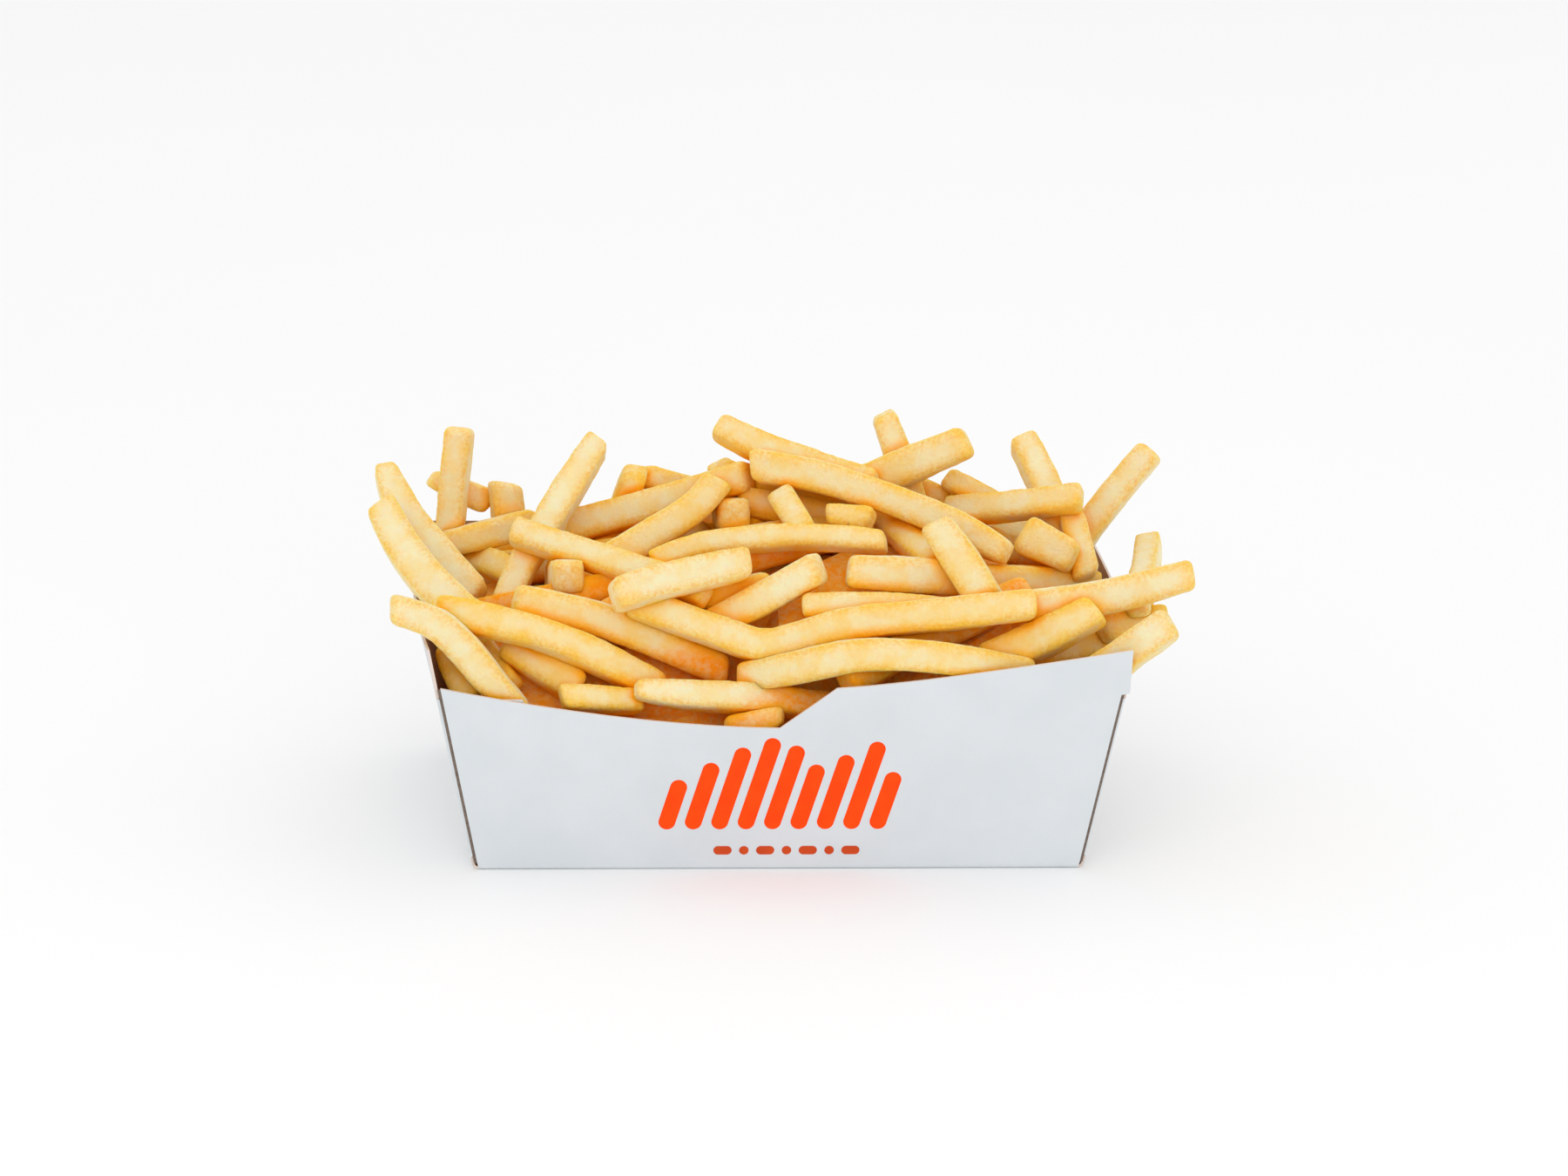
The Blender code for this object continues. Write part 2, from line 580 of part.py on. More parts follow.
def bend_bar(bm, points, radius, turn):
    """Lay a straight bar's mesh along a middle line"""
    run = np.concatenate(([0], np.cumsum(np.linalg.norm(np.diff(points, axis=0), axis=1))))
    facing = Vector(facing_of(points))
    for vert in bm.verts:
        at = (vert.co.z + 0.5) * run[-1]
        middle = Vector([np.interp(at, run, points[:, k]) for k in range(3)])
        ahead = Vector([np.interp(min(at + DIRECTION_REACH, run[-1]), run, points[:, k]) for k in range(3)])
        behind = Vector([np.interp(max(at - DIRECTION_REACH, 0), run, points[:, k]) for k in range(3)])
        along = (ahead - behind).normalized()
        wide = along.cross(facing).normalized()
        tall = wide.cross(along)
        c, s = math.cos(turn), math.sin(turn)
        x, y = vert.co.x * c - vert.co.y * s, vert.co.x * s + vert.co.y * c
        vert.co = middle + (wide * x + tall * y) * 2 * radius


def core_top(x, y, stations):
    """Height of the core: under the heap's surface, and no higher than the middle of any fry above it"""
    height = float(heap_height(np.array(x), np.array(y))) - CORE_SINK
    near = np.hypot(stations[:, 0] - x, stations[:, 1] - y) < CORE_REACH
    if near.any():
        height = min(height, stations[near, 2].min() - CORE_UNDER_FRY)
    return max(height, CORE_LOWEST_TOP)


def make_core(fries, collection):
    """The heap's core: a block whose top follows the undersides of the fries, clear of the carton"""
    stations = np.vstack([fry.points for fry in fries])
    top_half = np.array((wall_x(1, CORE_TOP_WALL), wall_y(1, CORE_TOP_WALL))) - CORE_TOP_GAP
    foot_half = np.array((BASE_WIDTH / 2, BASE_DEPTH / 2)) - CORE_FOOT_GAP
    bm = bmesh.new()
    bmesh.ops.create_grid(bm, x_segments=CORE_CELLS[0], y_segments=CORE_CELLS[1], size=1.0)
    top = bm.verts[:]
    grown = bmesh.ops.extrude_face_region(bm, geom=bm.faces[:])
    foot = [item for item in grown["geom"] if isinstance(item, bmesh.types.BMVert)]
    for vert in top:
        x, y = vert.co.x * top_half[0], vert.co.y * top_half[1]
        vert.co = (x, y, core_top(x, y, stations))
    for vert in foot:
        vert.co = (vert.co.x * foot_half[0], vert.co.y * foot_half[1], CORE_FLOOR)
    bmesh.ops.recalc_face_normals(bm, faces=bm.faces)
    bmesh.ops.scale(bm, verts=bm.verts, vec=(MM, MM, MM))
    return add_object(bm, "fries", collection, fried_potato())


def add_fry(fry, index, pieces):
    """One fry as a low bar in the collection of pieces"""
    length = np.linalg.norm(np.diff(fry.points, axis=0), axis=1).sum()
    bend = bent_share(fry.points)
    cuts = int(np.clip(round(bend * CUTS_BY_BEND), 0, MOST_CUTS))
    if length > UNCUT_LENGTH:
        cuts = max(cuts, 1)
    bm = straight_bar(cuts)
    bend_bar(bm, fry.points, fry.radius, fry.turn)
    bmesh.ops.scale(bm, verts=bm.verts, vec=(MM, MM, MM))
    add_object(bm, f"piece_{index:03d}", pieces, None)


def bent_share(points):
    """How far a middle line leaves the straight line between its ends, as a share of its length"""
    line = points[-1] - points[0]
    length = np.linalg.norm(line)
    off = points - points[0]
    away = off - np.outer(off @ line / length ** 2, line)
    return np.linalg.norm(away, axis=1).max() / length


def back_fries(shown, random):
    """Fries for the back of the heap, each laid on the surface where there is room"""
    placed = list(shown)
    added = []
    for attempt in range(BACK_TRIES):
        x = random.uniform(-BACK_HALF_WIDTH, BACK_HALF_WIDTH)
        y = random.uniform(BACK_FROM_Y, BACK_TO_Y)
        turn = random.uniform(-BACK_TURN, BACK_TURN)
        length = random.uniform(*BACK_LENGTH) - BACK_SHORTENING * attempt / BACK_TRIES
        radius = random.uniform(*BACK_RADIUS)
        fry = laid_fry(x, y, turn, length, radius, random.uniform(-BACK_BEND, BACK_BEND), BACK_LOWEST_Y)
        if fry and lift_clear(fry, placed):
            fry.turn = random.uniform(-FRY_TURN, FRY_TURN)
            placed.append(fry)
            added.append(fry)
    return added


def laid_fry(x, y, turn, length, radius, bend, lowest_y):
    """A fry lying on the heap's surface, or nothing where it would cross the carton"""
    t = np.linspace(-1, 1, max(4, int(length / STATION_SPACING)))
    across = t * length / 2
    side = bend * (1 - t * t)
    px = x + across * math.cos(turn) - side * math.sin(turn)
    py = y + across * math.sin(turn) + side * math.cos(turn)
    pz = heap_height(px, py)
    shapes = depth_shapes(len(t), length)
    pz = shapes @ np.linalg.pinv(shapes) @ pz
    room = radius * CORNER_SHARE + WALL_CLEARANCE + FLAP_GAP
    inside_y = py < BASE_DEPTH / 2 + BACK_FLARE * pz - room
    inside_x = np.abs(px) < BASE_WIDTH / 2 + RIGHT_FLARE * np.minimum(pz, RIM_HEIGHT) - room
    if not (inside_x.all() and inside_y.all() and (py > lowest_y).all()):
        return None
    return Fry("back", 9, radius, 0.0, points=np.column_stack((px, py, pz)))


def lift_clear(fry, placed):
    """Lower or raise a fry until it just touches the others; false where no place is found"""
    for lift in np.arange(LOWEST_LIFT, HIGHEST_LIFT, 1.0):
        spots = fry.points + np.array((0, 0, lift))
        if shows_over_heap(spots, fry.radius):
            return False
        if all(is_clear(spots, fry.radius, other, BACK_TOUCH) for other in placed):
            fry.points = spots
            return True
    return False


def is_clear(spots, radius, other, touch):
    """Whether a fry at these stations crosses another no deeper than fries press together"""
    apart = np.linalg.norm(spots[:, None] - other.points[None], axis=2).min()
    return apart > (radius + other.radius) * touch


def shows_over_heap(spots, radius):
    """Whether a fry would rise above the outline that the heap has from the front"""
    eye, right, up, forward = view_axes()
    away = spots - eye
    scale = VIEW_PX_PER_MM * VIEW_DISTANCE / (away @ forward)
    level_x, level_y = away @ right * scale, -(away @ up) * scale
    c, s = math.cos(VIEW_ROLL), math.sin(VIEW_ROLL)
    across = VIEW_MIDDLE_PX[0] + c * level_x - s * level_y
    down = VIEW_MIDDLE_PX[1] + s * level_x + c * level_y
    outline_x, outline_y = np.array(HEAP_OUTLINE, float).T
    return bool((down - radius * VIEW_PX_PER_MM < np.interp(across, outline_x, outline_y)).any())


def fuse(core, pieces):
    """Join the fries to the core and keep the one body that results"""
    join = core.modifiers.new("join", "BOOLEAN")
    join.operation = "UNION"
    join.operand_type = "COLLECTION"
    join.collection = pieces
    join.solver = "EXACT"
    graph = bpy.context.evaluated_depsgraph_get()
    mesh = bpy.data.meshes.new_from_object(core.evaluated_get(graph))
    core.modifiers.clear()
    core.data = mesh
    for piece in list(pieces.objects):
        bpy.data.objects.remove(piece)
    bpy.data.collections.remove(pieces)
    bm = bmesh.new()
    bm.from_mesh(mesh)
    bmesh.ops.remove_doubles(bm, verts=bm.verts, dist=MERGE_DISTANCE)
    bmesh.ops.triangulate(bm, faces=bm.faces)
    keep_largest(bm)
    bm.to_mesh(mesh)
    bm.free()
    mesh.materials.clear()
    mesh.materials.append(fried_potato())


def keep_largest(bm):
    """Delete every shell but the largest: loose scraps and the linings of sealed hollows"""
    left = set(bm.verts)
    shells = []
    while left:
        shell = {left.pop()}
        reached = list(shell)
        while reached:
            vert = reached.pop()
            for edge in vert.link_edges:
                other = edge.other_vert(vert)
                if other not in shell:
                    shell.add(other)
                    reached.append(other)
        left -= shell
        shells.append(shell)
    shells.sort(key=len)
    spare = [v for shell in shells[:-1] for v in shell]
    bmesh.ops.delete(bm, geom=spare, context="VERTS")


def paperboard():
    return plain_material("paperboard", (0.80, 0.83, 0.86, 1), 0.6)


def fried_potato():
    return plain_material("fried_potato", (0.90, 0.62, 0.25, 1), 0.55)


def plain_material(name, colour, roughness):
    material = bpy.data.materials.get(name) or bpy.data.materials.new(name)
    material.use_nodes = True
    shader = material.node_tree.nodes["Principled BSDF"]
    shader.inputs["Base Color"].default_value = colour
    shader.inputs["Roughness"].default_value = roughness
    return material


def add_object(bm, name, collection, material):
    mesh = bpy.data.meshes.new(name)
    bm.to_mesh(mesh)
    bm.free()
    if material:
        mesh.materials.append(material)
    thing = bpy.data.objects.new(name, mesh)
    collection.objects.link(thing)
    return thing


def main():
    for thing in list(bpy.data.objects):
        bpy.data.objects.remove(thing)
    collection = bpy.data.collections.new("french fries in a carton")
    pieces = bpy.data.collections.new("fry_pieces")
    bpy.context.scene.collection.children.link(collection)
    bpy.context.scene.collection.children.link(pieces)
    make_carton(collection)
    random = np.random.default_rng(SEED)
    shown = shown_fries(random)
    fries = shown + back_fries(shown, random)
    core = make_core(fries, collection)
    for index, fry in enumerate(fries):
        add_fry(fry, index, pieces)
    fuse(core, pieces)


main()
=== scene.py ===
"""French fries heaped in an open paperboard carton: the detailed pieces and their finish.

The heap is laid out fry by fry as in the solids, and each fry is then modelled with its rounded edges,
lumps and browned ends. Lengths are in millimetres until a mesh is made.
"""
import math

import bmesh
import bpy
import numpy as np
from mathutils import Matrix, Vector, noise
from mathutils.bvhtree import BVHTree


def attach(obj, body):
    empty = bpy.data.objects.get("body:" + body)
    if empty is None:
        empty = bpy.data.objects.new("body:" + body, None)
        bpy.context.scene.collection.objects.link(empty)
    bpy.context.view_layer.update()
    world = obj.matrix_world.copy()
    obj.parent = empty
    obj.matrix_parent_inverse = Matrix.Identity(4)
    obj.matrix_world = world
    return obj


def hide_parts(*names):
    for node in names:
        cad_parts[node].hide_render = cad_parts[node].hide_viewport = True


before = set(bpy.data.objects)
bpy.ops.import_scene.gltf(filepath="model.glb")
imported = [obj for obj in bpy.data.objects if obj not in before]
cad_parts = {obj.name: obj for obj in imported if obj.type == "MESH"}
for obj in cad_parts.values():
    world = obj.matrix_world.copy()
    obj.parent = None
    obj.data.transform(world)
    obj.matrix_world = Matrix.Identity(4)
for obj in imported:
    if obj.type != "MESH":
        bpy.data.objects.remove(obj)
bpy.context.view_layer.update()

MM = 0.001
PHOTO_WIDTH = 1800
SENSOR_WIDTH = 36.0

# Carton, one blank of board folded up and glued
BOARD = 0.6
BASE_WIDTH = 140.0
BASE_DEPTH = 95.0
RIM_HEIGHT = 54.3
LEFT_FLARE = 0.194
RIGHT_FLARE = 0.178
FRONT_FLARE = 0.149
BACK_FLARE = 0.148
LEFT_BOW = 3.3
RIGHT_BOW = 1.2
# The bow runs out this far beyond the base's front and back, and grows with height
BOW_RUN_OUT = 7.0
BOW_GROWTH = 1.5
CORNER_RELIEF = 1.1
FLAP_GAP = 0.85
FLAP_LENGTH = 24.0
FLAP_TOP = 42.0
FLAP_SLANT = 5.0
FOLD_RADIUS = 0.7
FOLD_ANGLE = math.radians(35)
FOLD_SEGMENTS = 3
SHARP_ANGLE = math.radians(25)
PANEL_INSET = 0.95
# Top edge of the front panel: a low sweep, a slanted step and a rising sweep
LEFT_CORNER_TOP = 45.1
STEP_FOOT_X = -0.8
STEP_FOOT_TOP = 35.2
STEP_HEAD_X = 12.0
STEP_HEAD_TOP = 45.1
RIGHT_CORNER_TOP = 54.5
LOW_SWEEP_POWER = 1.7
HIGH_SWEEP_POWER = 1.25
EAR_FOOT = 43.5
EAR_WIDTH = 1.9
EAR_RISE = 0.4
EAR_TOP_INSET = 1.7
# The right side's rim drops from the full height to the ear near the front
RIGHT_DIP_TOP = 43.0
RIGHT_DIP_LENGTH = 40.0
RIM_OVER_FLAP = 0.8
SIDE_COLUMNS = 10
SIDE_ROWS = (3.0, 14.0, 28.0, FLAP_TOP)
SWEEP_STEPS = 10

# Where the heap is looked at from when its fries are laid out, and the frame of that view in pixels
VIEW_TURN = math.radians(-3.76)
VIEW_TILT = math.radians(16.0)
VIEW_ROLL = math.radians(1.06)
VIEW_DISTANCE = 1300.0
VIEW_RIGHT_SHIFT = 3.0
VIEW_UP_SHIFT = 17.8
VIEW_AIM_HEIGHT = 35.0
VIEW_PX_PER_MM = 4.856
VIEW_MIDDLE_PX = np.array((900.0, 675.0))

# Heap: the surface on which the middles of the outer fries lie
HEAP_RIM = 44.0
HEAP_BACK_RIM = 50.0
HEAP_CREST_Y = 2.0
HEAP_FRONT_REACH = 56.0
HEAP_BACK_REACH = 54.0
HEAP_FRONT_POWER = 2.2
HEAP_BACK_POWER = 1.5
HEAP_MOST_REACH = 1.15
# Height of the heap's crest across the carton, as (x, height)
HEAP_CREST = ((-110, 42), (-80, 55), (-68, 62), (-45, 67), (-15, 74), (35, 75), (64, 70), (80, 56), (110, 42))
CORE_SINK = 6.0
CORE_REACH = 7.5
CORE_UNDER_FRY = 0.5
CORE_LOWEST_TOP = 30.0
CORE_FLOOR = 1.3
CORE_FOOT_GAP = 3.2
CORE_TOP_GAP = 5.5
CORE_TOP_WALL = 46.0
CORE_CELLS = (16, 11)
WALL_CLEARANCE = 0.75
SIDE_SHIFT = 4.0
RIM_CLEARANCE = 1.4
LAYER_STEP = 5.0
# The layer whose fries start at the heap's own surface
SURFACE_LAYER = 1.5
CREST_MARGIN = 8.0
ROUNDING_SHARE = 0.86
STATION_SPACING = 4.0
CURVE_STEPS = 12
NEAREST_DEPTH = -75.0
FARTHEST_DEPTH = 25.0
NEVER = 99.0
LONG_FRY = 60.0
TOUCH = 0.90
BACK_TOUCH = 0.82
BACK_LOWEST_Y = -20.0
BACK_TRIES = 3000
BACK_HALF_WIDTH = 68.0
BACK_FROM_Y = 8.0
BACK_TO_Y = 50.0
BACK_TURN = 1.3
BACK_LENGTH = (66.0, 84.0)
BACK_SHORTENING = 44.0
BACK_RADIUS = (3.5, 4.1)
BACK_BEND = 3.0
LOWEST_LIFT = -9.0
HIGHEST_LIFT = 3.0
SETTLE_ROUNDS = 300
HOME_PULL = 0.03
HOME_ROUNDS = 240
PUSH = 0.6
LEAST_CONTACT = 0.35
LEAST_COUNT = 1e-6
LARGEST_MOVE = 4.0
OVER_RIM_SHARE = 0.6
CORNER_SHARE = 1.12
SEED = 11
# The way that a fry's broad face looks, and how far it may be turned from there
FACING = (0, -1, 0.45)
END_ON_FACING = (0, 0, 1)
MOSTLY_ALONG = 0.85
FRY_TURN = 0.24
SQUARENESS = 5.5

# Detailed fries: points round a fry, and the step from ring to ring along it
AROUND = 32
RING_STEP = 0.8
BEHIND_AROUND = 24
BEHIND_RING_STEP = 1.5
FRONT_LAYER = 2.0
HIDDEN_LAYER = 9
UNDER_AROUND = 16
UNDER_RING_STEP = 2.5
# How a fry's end closes, as (distance from the end, share of the full section)
END_PROFILE = ((0.0, 0.0), (0.02, 0.30), (0.09, 0.52), (0.26, 0.72), (0.60, 0.87), (1.1, 0.95), (1.8, 1.0))
SECTION_SQUARENESS = (4.6, 8.0)
CORNER_GATHER = 0.45
# A fry's half width swells and thins in a long and a short wave; its section is a little squat or tall
SIZE_WAVE = 0.03
LONG_WAVE = 9.0
SHORT_WAVE = 4.0
SQUATNESS = (0.94, 1.06)
LUMP = 0.17
LUMP_SIZE = 6.0
GRAIN = 0.09
GRAIN_SIZE = 1.6
CRUMB = 0.15
CRUMB_SIZE = 1.4
NOISE_RANGE = 90.0
# Browning runs along the corners and over the last stretch of each end
CORNER_BROWNING = 1.5
END_BROWNING = 1.5
LEAST_REACH = 0.5
DIRECTION_STEP = 2.0
FRY_TWIST = 0.12
END_SLANT = 0.30
SLANT_REACH = 7.0
# Fries that narrow to a tip, as (how much at the route's start, how much at its end)
TIPS = {
    "left_tip": (0.42, 0.0),
    "bottom_centre": (0.35, 0.0),
    "top_long": (0.0, 0.30),
    "top_long_back": (0.20, 0.0),
    "right_round": (0.0, 0.25),
    "cross_back_left": (0.35, 0.0),
    "bottom_tip": (0.0, 0.45),
}
TIP_REACH = 6.0
TIP_POWER = 1.3
MOST_BLUNTING = 0.12
# How golden a fry is, from 0 to 1: the outer ones stay pale, and those far down in the heap or lying in shade
# get the golden range, which is partly their own colour and partly painted shade
PALE_FRIES = ("upright_left", "upright_mid", "left_low", "left_outer", "left_tip", "cross_back_left",
              "stub_left", "top_upright", "right_upright_left", "right_upright_right", "right_stub_up",
              "long_right", "right_low", "centre_short", "short_rise", "bottom_centre", "centre_block",
              "end_on_centre", "end_on_left")
GOLDEN_FRIES = ("top_stub_left", "rise_left", "rough_end_left", "rough_end_right", "right_shadow",
                "mid_right_shadow", "under_short", "low_left_shadow", "left_low_shadow",
                "low_right_shadow", "chunk_left", "left_corner", "right_front", "long_left_front")
PALE_TONES = (0.0, 0.20)
MIDDLE_TONES = (0.25, 0.65)
GOLDEN_TONES = (0.75, 1.0)
# Fries whose ends broke off rough
ROUGH_ENDS = ("rough_end_right", "rough_end_left")
ROUGH_LUMP = 0.5
ROUGH_REACH = 4.0
# The layer under the fries that show, seen only in the gaps between them
UNDER_TRIES = 1400
UNDER_LIFT = (-10.0, -7.0)
UNDER_TOUCH = 0.70
UNDER_REACH = (74.0, 50.0)
UNDER_TURN = 1.5
UNDER_LENGTH = (58.0, 78.0)
UNDER_SHORTENING = 40.0
UNDER_RADIUS = (3.4, 4.0)
UNDER_BEND = 3.0
# One more fry of that layer, behind the crest's long ones, as its two ends
UNDER_CREST_ENDS = ((-8.0, 12.5, 71.2), (22.0, 9.0, 67.0))
UNDER_CREST_RADIUS = 3.7
CORE_DROP = 4.0
# How far below the heap's surface the painted depth shade grows to full
DEPTH_SHADE_SPAN = 14.0

# What each point of a fry stores for its finish, the last value being painted depth shade, and what the whole
# core stores
POINT_VALUES = ("tone", "browned", "painted_depth_shade")
CORE_VALUES = (0.8, 0.6, 1.0)
WELD = 0.002

# How the hollows between the fries are found for the painted shade: rays from each point, and how far they
# look
SHADE_RAYS = 12
SHADE_RAY_START = 0.15
RAYS_ASIDE = (0.31, 0.87, 0.39)
BROAD_SHADE_REACH = 18.0
HOLLOW_SHADE_REACH = 6.5
UNDERSIDE_SHADE_SHARE = 0.45
SHADE_SOFTENINGS = 2

# Dark strip beside each side edge of the front panel, on the glue flap: the raw board edge, darkened with
# painted shadow of the gap there
GAP_SHADOW_WIDTH = 0.75
GAP_SHADOW_DEPTH = 0.12
GAP_SHADOW_STEPS = 12
GAP_SHADOW_DROP = 0.5

# Print on the front panel: slanted bars over a row of short dashes
INK_SINK = 0.02
INK_RISE = 0.03
BAR_WIDTH = 3.9
BAR_PITCH = 6.05
BAR_SLANT = math.radians(16)
BAR_FOOT = 10.0
BAR_MIDDLE_X = 0.6
BAR_HALF_RISE = 9.0
BAR_LENGTHS = (13.0, 17.5, 21.5, 24.0, 22.0, 17.0, 19.5, 23.0, 15.0)
BAR_STEPS = 8
DASH_WIDTH = 2.2
DASH_LENGTHS = (4.2, 2.2, 4.2, 2.2, 4.2, 2.2, 4.2)
DASH_GAP = 1.7
DASH_HEIGHT = 4.6
DASH_SHIFT = 2.0
LEVEL = math.radians(90)

# Studio, in metres and watts
FLOOR_SIZE = 6.0
ROOM_LIGHT = 0.98
# Name, place, aim, width and power of each softbox
SOFTBOXES = (
    ("softbox_front", (-0.35, -1.10, 0.90), (0, 0, 0.04), 1.0, 2.4),
    ("softbox_low", (0.25, -1.40, 0.45), (0, 0, 0.05), 0.8, 1.7),
    ("softbox_back", (0.40, 0.70, 1.20), (0, 0, 0.04), 0.9, 0.8),
)
NEAREST_SEEN = 0.01
FARTHEST_SEEN = 20

# Colours, in linear light. A pair is mixed by the finish's own cloudiness
CREAM = (0.825, 0.755, 0.50, 1)
GOLD = (0.87, 0.56, 0.10, 1)
# Painted shade on undersides and among other fries
SHADED_GOLD = (1.0, 0.56, 0.04, 1)
CRUST_BROWN = (0.84, 0.40, 0.04, 1)
# Painted shade far down in the heap
DEPTH_SHADE_ORANGE = (0.98, 0.34, 0.015, 1)
# Painted shade in the hollows between the fries
HOLLOW_SHADE_ORANGE = (1.0, 0.42, 0.008, 1)
FLESH_RADIUS = (1.0, 0.6, 0.12)
COATING = ((0.635, 0.67, 0.695, 1), (0.665, 0.695, 0.72, 1))
KRAFT = ((0.33, 0.17, 0.08, 1), (0.46, 0.26, 0.14, 1))
KRAFT_CLOUD = (0.30, 0.14, 0.06, 1)
CUT_LAYERS = ((0.66, 0.54, 0.46, 1), (0.82, 0.72, 0.66, 1))
# Painted shadow of the gap beside each side edge of the front panel
EDGE_IN_SHADOW = ((0.10, 0.075, 0.06, 1), (0.30, 0.24, 0.20, 1))
ORANGE = ((1.0, 0.058, 0.0, 1), (0.97, 0.07, 0.001, 1))
DARK_ORANGE = ((0.62, 0.075, 0.014, 1), (0.56, 0.06, 0.012, 1))
FLOOR_WHITE = ((0.90, 0.90, 0.90, 1), (0.92, 0.92, 0.92, 1))

# Each fry that shows: name, layer counted from the front, width in pixels, and the middle line of it
# across the view in pixels
SHOWN_FRIES = (
    ("left_low", 1.0, 40, ((448, 698), (500, 716), (535, 748), (565, 784), (598, 822))),
    ("left_outer", 2.0, 42, ((438, 581), (456, 617), (487, 661), (525, 698), (560, 722))),
    ("left_tip", 3.0, 45, ((441, 533), (453, 567), (474, 603), (507, 642), (548, 690))),
    ("upright_left", 3.4, 36, ((528, 490), (521, 560), (513, 640))),
    ("cross_back_left", 5.0, 30, ((494, 548), (565, 578))),
    ("stub_left", 4.0, 42, ((579, 553), (586, 615))),
    ("left_cross", 3.2, 34, ((505, 626), (560, 613), (614, 599))),
    ("upright_mid", 3.0, 38, ((687, 507), (650, 566), (618, 618), (597, 655), (580, 696))),
    ("mid_left_diagonal", 2.0, 38, ((588, 610), (650, 630), (715, 650), (812, 682))),
    ("upper_left_long", 3.0, 41, ((650, 607), (760, 577), (862, 546))),
    ("rise_left", 2.4, 40, ((690, 648), (760, 607), (800, 580), (826, 550))),
    ("back_bump", 4.0, 36, ((826, 531), (852, 570))),
    ("top_stub_left", 4.0, 36, ((730, 540), (712, 590))),
    ("top_back_left", 5.0, 32, ((735, 545), (835, 575))),
    ("long_left_middle", 2.0, 40, ((590, 688), (660, 703), (720, 722), (780, 748), (836, 770))),
    ("long_left_front", 1.6, 42, ((500, 700), (560, 713), (620, 728), (680, 752), (755, 790))),
    ("end_on_left", 1.6, 44, ((653, 662), (643, 664))),
    ("centre_short", 1.0, 43, ((704, 685), (760, 668), (862, 645))),
    ("bent_v", 1.4, 42, ((724, 690), (790, 714), (850, 735), (880, 742), (910, 735), (980, 717), (1080, 706),
                       (1190, 693))),
    ("bottom_centre", 1.0, 38, ((729, 791), (800, 799), (870, 803), (970, 815))),
    ("bottom_tip", 0.8, 38, ((834, 843), (900, 821))),
    ("top_long_back", 3.0, 42, ((822, 488), (870, 513), (930, 536), (1005, 562))),
    ("top_long", 2.0, 38, ((863, 534), (930, 545), (1000, 566), (1070, 592), (1120, 616), (1157, 636))),
    ("under_long", 3.0, 32, ((862, 552), (920, 562), (985, 582))),
    ("top_cross", 3.0, 42, ((965, 566), (1030, 540), (1112, 506))),
    ("top_upright", 4.0, 36, ((1014, 475), (1030, 520), (1048, 580))),
    ("right_back_low", 4.0, 32, ((1085, 548), (1160, 588))),
    ("right_back_short", 4.0, 28, ((1050, 558), (1090, 574))),
    ("right_upright_left", 4.0, 38, ((1172, 504), (1197, 553), (1232, 642))),
    ("right_level", 3.0, 38, ((1088, 587), (1165, 581), (1243, 571))),
    ("right_upright_right", 4.0, 37, ((1322, 516), (1285, 560), (1252, 602), (1205, 672))),
    ("right_drop", 3.0, 34, ((1229, 588), (1247, 664))),
    ("right_round", 2.6, 47, ((1172, 612), (1234, 642))),
    ("centre_right_diagonal", 1.4, 43, ((1074, 600), (1104, 645), (1133, 692))),
    ("centre_level", 2.0, 34, ((750, 645), (800, 628), (860, 620), (930, 617), (1018, 623))),
    ("short_rise", 1.9, 39, ((806, 722), (870, 690), (943, 650))),
    ("centre_block", 2.0, 42, ((972, 656), (1108, 664))),
    ("under_bent", 2.2, 34, ((922, 697), (1000, 696), (1095, 703))),
    ("arch_front", 1.0, 39, ((848, 778), (910, 767), (980, 753), (1040, 752), (1110, 760), (1182, 774))),
    ("right_front", 1.2, 45, ((1132, 760), (1205, 730), (1261, 699))),
    ("long_right", 2.0, 39, ((1175, 697), (1270, 685), (1371, 659))),
    ("right_stub_up", 3.0, 35, ((1319, 621), (1315, 655), (1304, 698))),
    ("right_low", 2.0, 47, ((1346, 714), (1300, 746), (1250, 785))),
    ("right_low_back", 3.0, 36, ((1340, 708), (1262, 724))),
    ("low_right_shadow", 3.0, 34, ((1175, 754), (1275, 736))),
    ("chunk_left", 1.4, 36, ((643, 801), (735, 806))),
    ("low_left_shadow", 3.0, 46, ((582, 742), (667, 793))),
    ("left_corner", 2.0, 38, ((516, 748), (541, 806))),
    ("left_low_shadow", 3.0, 34, ((538, 724), (585, 790))),
    ("end_on_centre", 3.0, 41, ((843, 591), (835, 592))),
    ("lean_centre", 2.5, 34, ((896, 567), (926, 615))),
    ("rough_end_right", 2.6, 34, ((948, 593), (1002, 598))),
    ("rough_end_left", 3.8, 36, ((540, 638), (600, 662))),
    ("mid_right_shadow", 3.8, 36, ((1010, 590), (1075, 650))),
    ("under_short", 3.0, 32, ((805, 692), (885, 668))),
    ("right_shadow", 3.4, 34, ((1120, 664), (1260, 670))),
)
# The heap's own outline in that view, under the tips that stand out of it
HEAP_OUTLINE = ((470, 700), (500, 622), (560, 602), (640, 596), (700, 580), (740, 556), (800, 556),
                (830, 542), (870, 545), (950, 556), (1060, 560), (1180, 570), (1240, 566), (1256, 630),
                (1280, 700))
# How far a fry seen from its end runs back into the heap
END_ON_LENGTH = 34.0
END_ON_NAMES = ("end_on_left", "end_on_centre")


def wall_x(side, height):
    """Middle of a side panel's board, left (-1) or right (+1), at a height"""
    flare = LEFT_FLARE if side < 0 else RIGHT_FLARE
    return side * (BASE_WIDTH / 2 + flare * height)


def wall_y(face, height):
    """Middle of the front (-1) or back (+1) panel's board at a height"""
    flare = FRONT_FLARE if face < 0 else BACK_FLARE
    return face * (BASE_DEPTH / 2 + flare * height)


def bow(side, y, height):
    """How far the heap pushes a side panel outwards"""
    reach = LEFT_BOW if side < 0 else RIGHT_BOW
    along = np.clip(1 - (y / (BASE_DEPTH / 2 + BOW_RUN_OUT)) ** 2, 0, 1)
    return side * reach * along * np.clip(height / RIM_HEIGHT, 0, 1) ** BOW_GROWTH


